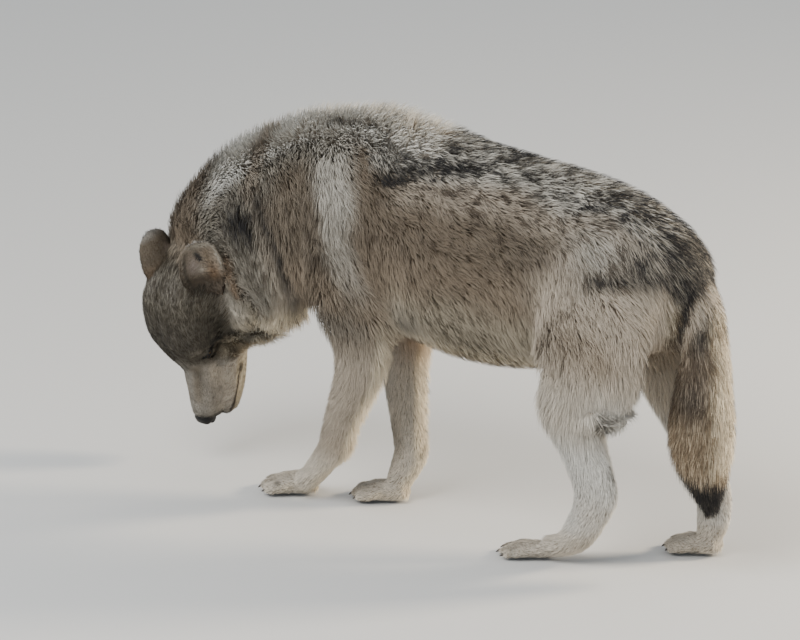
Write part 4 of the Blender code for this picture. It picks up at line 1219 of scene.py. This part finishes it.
def grow(tree, name, patch, **values):
    """The tufts that grow on a patch of skin, as a plain mesh."""
    holder = link(name, patch)
    modifier = holder.modifiers.new("Coat", "NODES")
    modifier.node_group = tree
    for item in tree.interface.items_tree:
        if item.item_type == "SOCKET" and item.in_out == "INPUT" and item.name in values:
            modifier[item.identifier] = values[item.name]
    bpy.context.view_layer.update()
    graph = bpy.context.evaluated_depsgraph_get()
    grown = bpy.data.meshes.new_from_object(holder.evaluated_get(graph))
    holder.modifiers.clear()
    holder.data = grown
    grown.shade_smooth()
    return holder


# ------------------------------------------------------------------ materials
def material(name):
    made = bpy.data.materials.new(name)
    made.use_nodes = True
    made.node_tree.nodes.clear()
    shader = made.node_tree.nodes.new("ShaderNodeBsdfPrincipled")
    output = made.node_tree.nodes.new("ShaderNodeOutputMaterial")
    made.node_tree.links.new(shader.outputs[0], output.inputs[0])
    return made, made.node_tree, shader


def attribute(tree, name, output="Vector"):
    return add(tree, "ShaderNodeAttribute", attribute_name=name, attribute_type="GEOMETRY").outputs[output]


MIX_FACTOR, MIX_A, MIX_B, MIX_RESULT = 0, 6, 7, 2  # the colour sockets of a Mix node


def mix(tree, factor, a, b, blend="MIX"):
    node = tree.nodes.new("ShaderNodeMix")
    node.data_type = "RGBA"
    node.blend_type = blend
    for index, value in ((MIX_FACTOR, factor), (MIX_A, a), (MIX_B, b)):
        if isinstance(value, bpy.types.NodeSocket):
            tree.links.new(value, node.inputs[index])
        elif index == MIX_FACTOR:
            node.inputs[index].default_value = value
        else:
            node.inputs[index].default_value = (*value, 1)
    return node.outputs[MIX_RESULT]


def darkened(tree, colour, by):
    return mix(tree, 1.0, colour, by, "MULTIPLY")


def coat_material():
    """Each tuft in its own shade of the pelt, darker at its foot, and some with dark tips."""
    made, tree, shader = material("wolf_coat")
    m = Sums(tree)
    chance = attribute(tree, "chance", "Fac")
    tipped = attribute(tree, "tipped", "Fac")
    pelt = attribute(tree, "pelt", "Color")
    _, t, _ = m.split(attribute(tree, "blade"))
    streaked = m.ways("MULTIPLY", attribute(tree, "root"), (1.0, 0.6, 1.2))
    lock = m.noise(streaked, 100.0, 2.0)[0]
    patch = m.noise(streaked, 32.0, 1.0)[0]
    # Dark tips come in locks on the body, and tuft by tuft where the grain is fine.
    mixed = m.plus(m.plus(m.times(lock, 1.5), m.times(patch, 0.7)), m.times(chance, 0.30))
    ticked = m.plus(m.plus(m.times(lock, 0.8), m.times(chance, 0.9)), 0.4)
    mixed = m.plus(mixed, m.times(attribute(tree, "grain", "Fac"), m.less(ticked, mixed)))
    limit = m.less(1.56, m.times(tipped, 0.56))
    dark = m.ramp(m.less(mixed, limit), -0.04, 0.04)
    dark = m.times(dark, m.ramp(t, 0.25, 0.55))
    dark = m.times(dark, m.ramp(tipped, 0.02, 0.2))
    vary = m.plus(m.times(attribute(tree, "other_chance", "Fac"), 0.42), m.plus(m.times(lock, 0.6), 0.49))
    base = darkened(tree, pelt, m.joined(vary, vary, vary))
    colour = mix(tree, m.ramp(t, 0.05, 0.55), darkened(tree, pelt, (0.42, 0.36, 0.30)), base)
    shade = mix(tree, m.ramp(tipped, 0.25, 0.5), darkened(tree, pelt, (0.26, 0.23, 0.20)), BLACK)
    tree.links.new(mix(tree, dark, colour, shade), shader.inputs["Base Color"])
    shader.inputs["Roughness"].default_value = 0.55
    shader.inputs["Specular IOR Level"].default_value = 0.25
    # Half of the shading follows the skin, so that the coat looks soft.
    own = m.add("ShaderNodeNewGeometry")["Normal"]
    out = m.ways("NORMALIZE", attribute(tree, "skin_way"))
    soft = m.ways("NORMALIZE", m.moved(m.scaled(own, 0.45), out, 0.55))
    tree.links.new(soft, shader.inputs["Normal"])
    return made


def bumped(tree, shader, height, strength, distance):
    bump = add(tree, "ShaderNodeBump", {"Height": height, "Strength": strength, "Distance": distance})
    tree.links.new(bump.outputs[0], shader.inputs["Normal"])


def skin_material():
    made, tree, shader = material("wolf_skin")
    m = Sums(tree)
    place = m.add("ShaderNodeTexCoord")["Object"]
    vary = m.plus(m.times(m.noise(place, 120.0, 3.0)[0], 0.6), 0.35)
    colour = darkened(tree, attribute(tree, "pelt", "Color"), m.joined(vary, vary, vary))
    tree.links.new(colour, shader.inputs["Base Color"])
    shader.inputs["Roughness"].default_value = 0.7
    bumped(tree, shader, m.noise(place, 900.0, 2.0)[0], 0.5, 0.0008)
    return made


def plain_material(name, colour, roughness, bumps=0.0, shine=0.5):
    made, tree, shader = material(name)
    shader.inputs["Base Color"].default_value = (*colour, 1)
    shader.inputs["Roughness"].default_value = roughness
    shader.inputs["Specular IOR Level"].default_value = shine
    if bumps:
        place = add(tree, "ShaderNodeTexCoord").outputs["Object"]
        cells = add(tree, "ShaderNodeTexVoronoi", {"Vector": place, "Scale": 700.0}).outputs["Distance"]
        bumped(tree, shader, cells, bumps, 0.0006)
    return made


def eye_material(name):
    made, tree, shader = material(name)
    tree.links.new(attribute(tree, "tint", "Color"), shader.inputs["Base Color"])
    shader.inputs["Roughness"].default_value = 0.08
    shader.inputs["Coat Weight"].default_value = 0.5
    return made


# ------------------------------------------------------------------ eyes and nose
# From the rim inwards: within how many degrees of the way the eye looks, and the colour there.
EYE_COLOURS = (
    (180, (0.14, 0.11, 0.09)), (36, (0.03, 0.02, 0.01)), (30, (0.16, 0.085, 0.022)),
    (14, (0.004, 0.004, 0.004)),
)


def eye(side):
    """An eyeball with an amber iris and a round pupil."""
    middle, look, _, _ = eye_frame(side)
    mesh = bmesh.new()
    turn = look.to_track_quat("Z", "Y").to_matrix().to_4x4()
    place = Matrix.Translation(middle * CM + SHIFT) @ turn
    bmesh.ops.create_uvsphere(mesh, u_segments=48, v_segments=32, radius=EYE_RADIUS * CM, matrix=place)
    obj = object_from("eye_left" if side > 0 else "eye_right", mesh)
    offset = places(obj.data) - np.array(middle)
    turned = np.degrees(np.arccos(np.clip(offset @ np.array(look) / EYE_RADIUS, -1, 1)))
    tint = np.zeros((len(turned), 3))
    for limit, colour in EYE_COLOURS:
        tint[turned <= limit] = colour
    store(obj.data, tint=tint)
    obj.data.shade_smooth()
    return obj


# On each side of the nose: nostril's front and side opening, as forward, left, up and reach.
NOSTRIL = ((15.8, 1.05, -3.0, 0.45), (15.3, 1.85, -3.3, 0.40))


def nose():
    """The nose pad with its nostrils and the groove between them."""
    obj = tube("nose", smoothed(on_head(NOSE_PAD), 8), LEFT, sides=48)
    modify(obj, "SUBSURF", levels=1, render_levels=1)
    head = in_head(places(obj.data))
    moved = head.copy()
    for side in BOTH_SIDES:
        hole = np.clip(sum(near(head, (f, l * side, u), reach) for f, l, u, reach in NOSTRIL), 0, 1)
        moved[:, 0] -= 0.7 * hole
        moved[:, 1] -= 0.35 * side * hole
        moved[:, 0] += 0.12 * near(head, (15.8, 1.4 * side, -2.3), 0.5)
    moved[:, 0] -= 0.16 * bell(head[:, 1], 0.14) * step(-2.6, -3.4, head[:, 2])
    put_places(obj.data, from_head(moved))
    obj.data.shade_smooth()
    return obj


# ------------------------------------------------------------------ ears
EAR_LENGTH = 11.4
EAR_THICKNESS = 0.42
EAR_SPANS = 28
EAR_COAT = {"depth": 0.24, "hair_inside": 1.1, "hair_outside": 0.8}
# Each ear: its root on the head, the ways along it and into its hollow, and how far it leans into that way.
EARS = {
    "left": ((-16.5, 10.3, 4.0), ((-0.95, 0.02, 0.25), (-0.1, 0.80, 0.58)), 2.6),
    "right": ((-13.6, -5.3, 1.6), ((-0.95, -0.08, 0.33), (0.0, -0.98, 0.12)), 0.8),
}
# Share of the ear's length, half width and depth of the hollow.
EAR_PROFILE = (
    (-0.2, 2.8, 1.8), (0, 3.8, 2.2), (0.2, 4.35, 2.2), (0.4, 4.5, 2.0), (0.6, 4.3, 1.6), (0.8, 3.6, 1.1),
    (0.91, 2.6, 0.6), (0.97, 1.3, 0.25), (0.985, 0.4, 0.1),
)
EAR_BACK = (0.19, 0.155, 0.115)
EAR_TIP = (0.30, 0.285, 0.26)
EAR_INSIDE = (0.34, 0.28, 0.215)
EAR_PINK = (0.46, 0.385, 0.335)
EAR_SHADE = (0.24, 0.185, 0.125)
EAR_DARK = (0.15, 0.12, 0.085)
EAR_PALE = (0.58, 0.52, 0.44)
EAR_FOOT = (0.15, 0.12, 0.09)
EAR_EDGE = (0.44, 0.395, 0.325)


def ear_ways(name):
    """The ways along the ear, across it and into its hollow."""
    along, hollow = (head_way(*way).normalized() for way in EARS[name][1])
    across = along.cross(hollow).normalized()
    return along, across, across.cross(along).normalized()


def ear_leaf(name):
    """A cupped leaf in two sheets, with each point's share of the length, place across and sheet."""
    along, across, hollow = ear_ways(name)
    root, _, lean = EARS[name]
    root = head_point(*root)
    mesh = bmesh.new()
    sheets = []
    details = []
    for sheet, offset in enumerate((0.0, EAR_THICKNESS)):
        rows = []
        for distance, half_width, depth in smoothed(EAR_PROFILE, 4):
            row = []
            for k in range(EAR_SPANS + 1):
                t = 2 * k / EAR_SPANS - 1
                inset = max(0.0, half_width - 0.5 * offset * abs(t))
                swing = lean * min(1.0, max(0.0, 2.5 * distance))
                middle = root + along * distance * EAR_LENGTH + across * t * inset + hollow * swing
                middle -= hollow * max(0.0, -t) * max(0.0, 1 - distance / 0.5)
                place = middle + hollow * (depth * (t * t - 1) - offset * (1 - 0.5 * t * t) - 0.1)
                row.append(mesh.verts.new(place * CM + SHIFT))
                details.append((distance, t, sheet))
            rows.append(row)
        sheets.append(rows)
    inner, outer = sheets
    for rows in sheets:
        for low, high in zip(rows, rows[1:]):
            for k in range(EAR_SPANS):
                mesh.faces.new((low[k], low[k + 1], high[k + 1], high[k]))
    # The strips that join the two sheets, along both sides and at both ends.
    for i in range(len(inner) - 1):
        for k in (0, EAR_SPANS):
            mesh.faces.new((inner[i][k], inner[i + 1][k], outer[i + 1][k], outer[i][k]))
    for i in (0, -1):
        for k in range(EAR_SPANS):
            mesh.faces.new((inner[i][k], inner[i][k + 1], outer[i][k + 1], outer[i][k]))
    bmesh.ops.triangulate(mesh, faces=mesh.faces)
    return object_from("ear_" + name, mesh), np.array(details).T


def spot(distance, t, far, across, length, width):
    """1 at a place on the ear, far along it and across it, falling off along and across."""
    return np.exp(-(((distance - far) / length) ** 2) - ((t - across) / width) ** 2)


def ear(name):
    """An ear: pale inside with a dark hollow, brown-grey behind."""
    obj, (distance, t, sheet) = ear_leaf(name)
    along, across, _ = ear_ways(name)
    count = len(distance)
    out = unit(smooth_over(obj.data, normals(obj.data), 2))
    inside = (sheet == 0) & (np.abs(t) < 0.95)
    paint = Paint(count)
    paint.lay(EAR_BACK, np.ones(count), 0.08)
    paint.lay(TAN * 0.9, (~inside) * step(-0.2, 0.8, t) * step(0.6, 0.1, distance) * 0.45)
    paint.lay(EAR_TIP, (~inside) * step(0.82, 0.95, distance) * 0.7)
    paint.lay(EAR_INSIDE, inside.astype(float))
    paint.lay(EAR_PINK, spot(distance, t, 0.48, -0.42, 0.16, 0.26))
    paint.lay(EAR_SHADE, inside * spot(distance, t, 0.60, 0.42, 0.26, 0.20) * 0.8)
    paint.lay(EAR_DARK, inside * spot(distance, t, 0.82, -0.12, 0.07, 0.30) * 0.8)
    paint.lay(EAR_PALE, inside * spot(distance, t, 0.37, -0.05, 0.07, 0.26))
    paint.lay(EAR_FOOT, inside * step(0.30, 0.10, distance), 0.1)
    paint.lay(TAN * 1.1, inside * spot(distance, t, 0.26, 0.55, 0.18, 0.28) * 0.55)
    # Painted shade: a dark line inside the front rim, where the rim overhangs the hollow.
    paint.lay(ASH * 0.7, inside * bell(t + 0.84, 0.10) * step(0.95, 0.6, distance))
    rim = step(0.78, 0.90, np.maximum(np.abs(t), distance)) * inside
    paint.lay(EAR_EDGE, rim * step(0.25, 0.5, distance) * step(-0.7, -0.2, t + distance - 0.6))
    # Painted shade: the opening of the ear canal painted black where the leaf has no hole.
    hole = spot(distance, t + (distance - 0.67), 0.67, -0.08, 0.125, 0.19) * inside
    paint.lay(BLACK, step(0.3, 0.65, hole))
    inward = np.where(inside, 0.5, 0) * np.sign(-t)
    store(
        obj.data,
        pelt=paint.colour,
        tipped=paint.tip,
        cover=np.where(inside, 0.6 + 0.4 * rim, 1.0) * (1 - np.clip(2.6 * hole, 0, 1)),
        skin_way=out,
        flow=along_skin(np.array(along) + np.array(across) * inward[:, None], out),
        lie=np.ones(count),
        stand=np.zeros(count),
        depth=np.full(count, EAR_COAT["depth"] * CM),
        hair=np.where(inside, EAR_COAT["hair_inside"], EAR_COAT["hair_outside"]) * CM,
        grain=np.ones(count),
        loose=np.ones(count),
    )
    obj.data.shade_smooth()
    return obj


# ------------------------------------------------------------------ claws and whiskers
CLAW_LENGTH = 1.5
CLAW_RADIUS = 0.28
CLAW_ROOT = (-0.75, 1.75)  # behind the front of the toe, and up
CLAW_RINGS = (0, 0.25, 0.5, 0.7, 0.85, 0.95, 1.0)


def claws():
    """All sixteen claws, each a curved taper."""
    whole = bmesh.new()
    for foot in FEET:
        middle, forward, left, size, high = foot_ways(foot)
        for place, back, front, _ in TOES:
            spread = place * (1 + TOE_SPREAD * (front - back))
            rows = []
            for t in CLAW_RINGS:
                thick = CLAW_RADIUS * (1 - 0.8 * t * t)
                f = front + CLAW_ROOT[0] + CLAW_LENGTH * t
                u = CLAW_ROOT[1] - 0.1 * t - 0.75 * t * t
                centre = middle + (forward * f + left * spread) * size + Z_AXIS * u * high
                rows.append((*centre, thick, 1.3 * thick, 0))
            piece = tube("claw", smoothed(rows, 2), left, sides=14)
            whole.from_mesh(piece.data)
            bpy.data.objects.remove(piece, do_unlink=True)
    obj = object_from("claws", whole)
    obj.data.shade_smooth()
    return obj


WHISKER_ROWS, WHISKER_COLUMNS = 3, 5
WHISKER_RADIUS = 0.028
WHISKER_STEPS = 6


def whiskers():
    """Stiff hairs of the muzzle, in rows on both sides."""
    rng = np.random.default_rng(SEED)
    whole = bmesh.new()
    for side in BOTH_SIDES:
        for n in range(WHISKER_ROWS * WHISKER_COLUMNS):
            row, column = n % WHISKER_ROWS, n // WHISKER_ROWS
            start = np.array((12.6 - column * 1.3, (3.0 + 0.12 * column) * side, -5.2 - row * 0.8))
            way = np.array((-0.35 - 0.1 * column, 0.85 * side, -0.35 - 0.2 * row)) + rng.normal(0, 0.12, 3)
            way /= np.linalg.norm(way)
            length = 2.2 + 0.8 * column + rng.uniform(-0.4, 0.6)
            bend = np.array((-0.35, 0.0, -0.25)) * rng.uniform(0.6, 1.2)
            last = None
            for i in range(WHISKER_STEPS + 1):
                t = i / WHISKER_STEPS
                centre = head_point(*(start + way * length * t + bend * length * t * t * 0.5))
                thick = WHISKER_RADIUS * (1 - 0.85 * t)
                ring = []
                for k in range(4):
                    a = math.pi / 2 * k
                    offset = UP * math.cos(a) * thick + FORWARD * math.sin(a) * thick
                    ring.append(whole.verts.new((centre + offset) * CM + SHIFT))
                if last:
                    for k in range(4):
                        whole.faces.new((last[k], last[(k + 1) % 4], ring[(k + 1) % 4], ring[k]))
                else:
                    whole.faces.new(ring)
                last = ring
            whole.faces.new(last)
    return object_from("whiskers", whole)


# ------------------------------------------------------------------ build it all
def unwrap(obj):
    """An unwrap of the skin's own shape, which the coat's tufts use too."""
    bpy.ops.object.select_all(action="DESELECT")
    obj.select_set(True)
    bpy.context.view_layer.objects.active = obj
    obj.data.uv_layers.new(name="OFBake")
    bpy.ops.object.mode_set(mode="EDIT")
    bpy.ops.mesh.select_all(action="SELECT")
    bpy.ops.uv.smart_project(angle_limit=math.radians(66), island_margin=0.001)
    bpy.ops.object.mode_set(mode="OBJECT")


def patch_of(body, chosen, name):
    """The faces whose first corner is chosen, as a mesh of their own with every attribute kept."""
    mesh = bmesh.new()
    mesh.from_mesh(body.data)
    mesh.verts.ensure_lookup_table()
    gone = [f for f in mesh.faces if not chosen[f.verts[0].index]]
    bmesh.ops.delete(mesh, geom=gone, context="FACES")
    data = bpy.data.meshes.new(name)
    mesh.to_mesh(data)
    mesh.free()
    return data


def covered_area(mesh):
    """The area that the coat covers, in square metres."""
    area = read_all(mesh.polygons, "area", 1)[:, 0]
    cover = read_all(mesh.attributes["cover"].data, "value", 1)[:, 0]
    return float((area * cover[corners(mesh)].mean(axis=1)).sum())


# Each piece of coat: tufts, rows of points on a blade, width, lock size and pull, stray.
COATS = {
    "face": (62000, 3, 0.0011, 0.006, 0.12, 0.15),
    "ruff": (36000, 4, 0.0016, 0.012, 0.36, 0.25),
    "neck": (35000, 4, 0.0020, 0.013, 0.38, 0.25),
    "chest": (35000, 4, 0.0020, 0.013, 0.38, 0.22),
    "flank": (35000, 4, 0.0020, 0.013, 0.38, 0.22),
    "rump": (35000, 4, 0.0020, 0.013, 0.38, 0.22),
    "tail": (26000, 4, 0.0020, 0.013, 0.30, 0.20),
    "forelegs": (47000, 3, 0.0015, 0.008, 0.10, 0.20),
    "hindlegs": (47000, 3, 0.0015, 0.008, 0.10, 0.20),
    "ear": (12000, 3, 0.0011, 0.006, 0.30, 0.30),
}
EAR_SEED = SEED + 20
FLESH_NODES = (
    "head", "jaw", "neck", "chest", "belly", "rump", "tail", "tail_tip", "foreleg_left", "foreleg_right",
    "hindleg_left", "hindleg_right", "hock_left", "hock_right", "paw_fore_left", "paw_fore_right",
    "paw_hind_left", "paw_hind_right",
)


def settle(obj, made_of, slot, *nodes):
    """Finish a piece: its material, the body it rides on and the nodes it stands for; slot is not used."""
    obj.data.materials.clear()
    obj.data.materials.append(made_of)
    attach(obj, "root")
    if nodes:
        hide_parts(*nodes)


def coat_on(patch, name, tree, look, kind, seed):
    """One piece of coat, grown on a patch of skin and settled."""
    count, rows, width, size, pull, stray = COATS[kind]
    piece = grow(
        tree,
        name,
        patch,
        **{
            "Density": count / covered_area(patch),
            "Width": width,
            "Lock Size": size,
            "Lock Pull": pull,
            "Stray": stray,
            "Rows": rows,
            "Seed": seed,
            "Material": look,
        },
    )
    settle(piece, look, "coat_pale" if kind.endswith("legs") else "coat_grey")


def zones_of_coat(zone, points):
    """Which piece of coat each point of the skin belongs to."""
    y, z = points[:, 1], points[:, 2]
    chest = zone == "chest"
    zone[chest & (y > -5)] = "flank"
    zone[chest & (y > 20)] = "rump"
    on_face = (in_head(points)[:, 0] > -9) & (y < -50) & (z < 44)
    zone[(zone == "face") & ~on_face] = "ruff"
    zone[(zone == "forelegs") & (z > 38)] = "chest"
    zone[(zone == "hindlegs") & (z > 38)] = "rump"
    return zone


def main():
    """Every piece of the wolf."""
    coat_look = coat_material()
    skin_look = skin_material()
    body = build_skin()
    zone = zones_of_coat(*dress(body))
    unwrap(body)
    body.data.shade_smooth()
    tree = coat_tree()
    for number, name in enumerate(ZONES):
        patch = patch_of(body, zone == name, "coat_" + name)
        coat_on(patch, "coat_" + name, tree, coat_look, name, SEED + number)
    settle(body, skin_look, "coat_grey", *FLESH_NODES)
    for name in EARS:
        leaf = ear(name)
        unwrap(leaf)
        coat_on(leaf.data.copy(), "coat_ear_" + name, tree, coat_look, "ear", EAR_SEED)
        settle(leaf, skin_look, "coat_grey", "ear_" + name)
    for side, name in ((1, "left"), (-1, "right")):
        settle(eye(side), eye_material(f"eye_{side + 1}"), "eye", "eye_" + name)
    settle(nose(), plain_material("nose_leather", (0.006, 0.0055, 0.0055), 0.45, 0.6, 0.22), "nose", "nose")
    claw_nodes = [f"claw_{foot}_{n}" for foot in FEET for n in (1, 2, 3, 4)]
    settle(claws(), plain_material("claw_horn", (0.05, 0.038, 0.03), 0.35), "claw", *claw_nodes)
    settle(whiskers(), plain_material("whisker", (0.10, 0.09, 0.08), 0.4), "claw")


# Lamps: name, place, size, power, colour.
LAMPS = (
    ("key", (3.2, -0.6, 4.2), 3.0, 200, (1.0, 0.98, 0.94)),
    ("sun", (-2.6, 3.4, 2.0), 0.8, 300, (1.0, 0.86, 0.66)),
    ("fill", (3.5, -4.5, 1.6), 3.0, 50, (0.9, 0.95, 1.0)),
)
SKY_COLOUR = (0.86, 0.93, 1.0, 1)
SKY_STRENGTH = 0.75
FLOOR_SIZE = 30
MIDDLE = Vector((0, 0, 0.4))
CAMERA_TURN, CAMERA_RISE = math.radians(122), math.radians(17)
CAMERA_DISTANCE = 9
CAMERA_LENS = 210.6
CAMERA_OFFSET = (-0.15, 0.0128)  # to the right and up, in metres


def studio():
    """Pale floor, soft light and the camera."""
    mesh = bmesh.new()
    bmesh.ops.create_grid(mesh, x_segments=1, y_segments=1, size=FLOOR_SIZE)
    floor = object_from("floor", mesh)
    floor.data.materials.append(plain_material("floor_paint", (0.66, 0.65, 0.63), 0.8))
    world = bpy.data.worlds.new("soft_sky")
    world.use_nodes = True
    sky = world.node_tree.nodes["Background"].inputs
    sky["Color"].default_value = SKY_COLOUR
    sky["Strength"].default_value = SKY_STRENGTH
    bpy.context.scene.world = world
    for name, place, size, power, colour in LAMPS:
        lamp = bpy.data.lights.new(name, "AREA")
        lamp.size = size
        lamp.energy = power
        lamp.color = colour
        obj = link(name, lamp)
        obj.location = place
        obj.rotation_euler = (MIDDLE - Vector(place)).to_track_quat("-Z", "Y").to_euler()
    lens = bpy.data.cameras.new("camera")
    lens.sensor_width = 36
    lens.lens = CAMERA_LENS
    lens.clip_end = 100
    camera = link("camera", lens)
    level = math.cos(CAMERA_RISE)
    back = Vector((math.sin(CAMERA_TURN) * level, -math.cos(CAMERA_TURN) * level, math.sin(CAMERA_RISE)))
    turn = back.to_track_quat("Z", "Y")
    right, up = turn @ X_AXIS, turn @ Vector((0, 1, 0))
    target = MIDDLE + SHIFT + right * CAMERA_OFFSET[0] + up * CAMERA_OFFSET[1]
    camera.location = target + back * CAMERA_DISTANCE
    camera.rotation_euler = turn.to_euler()
    bpy.context.scene.camera = camera


main()
studio()
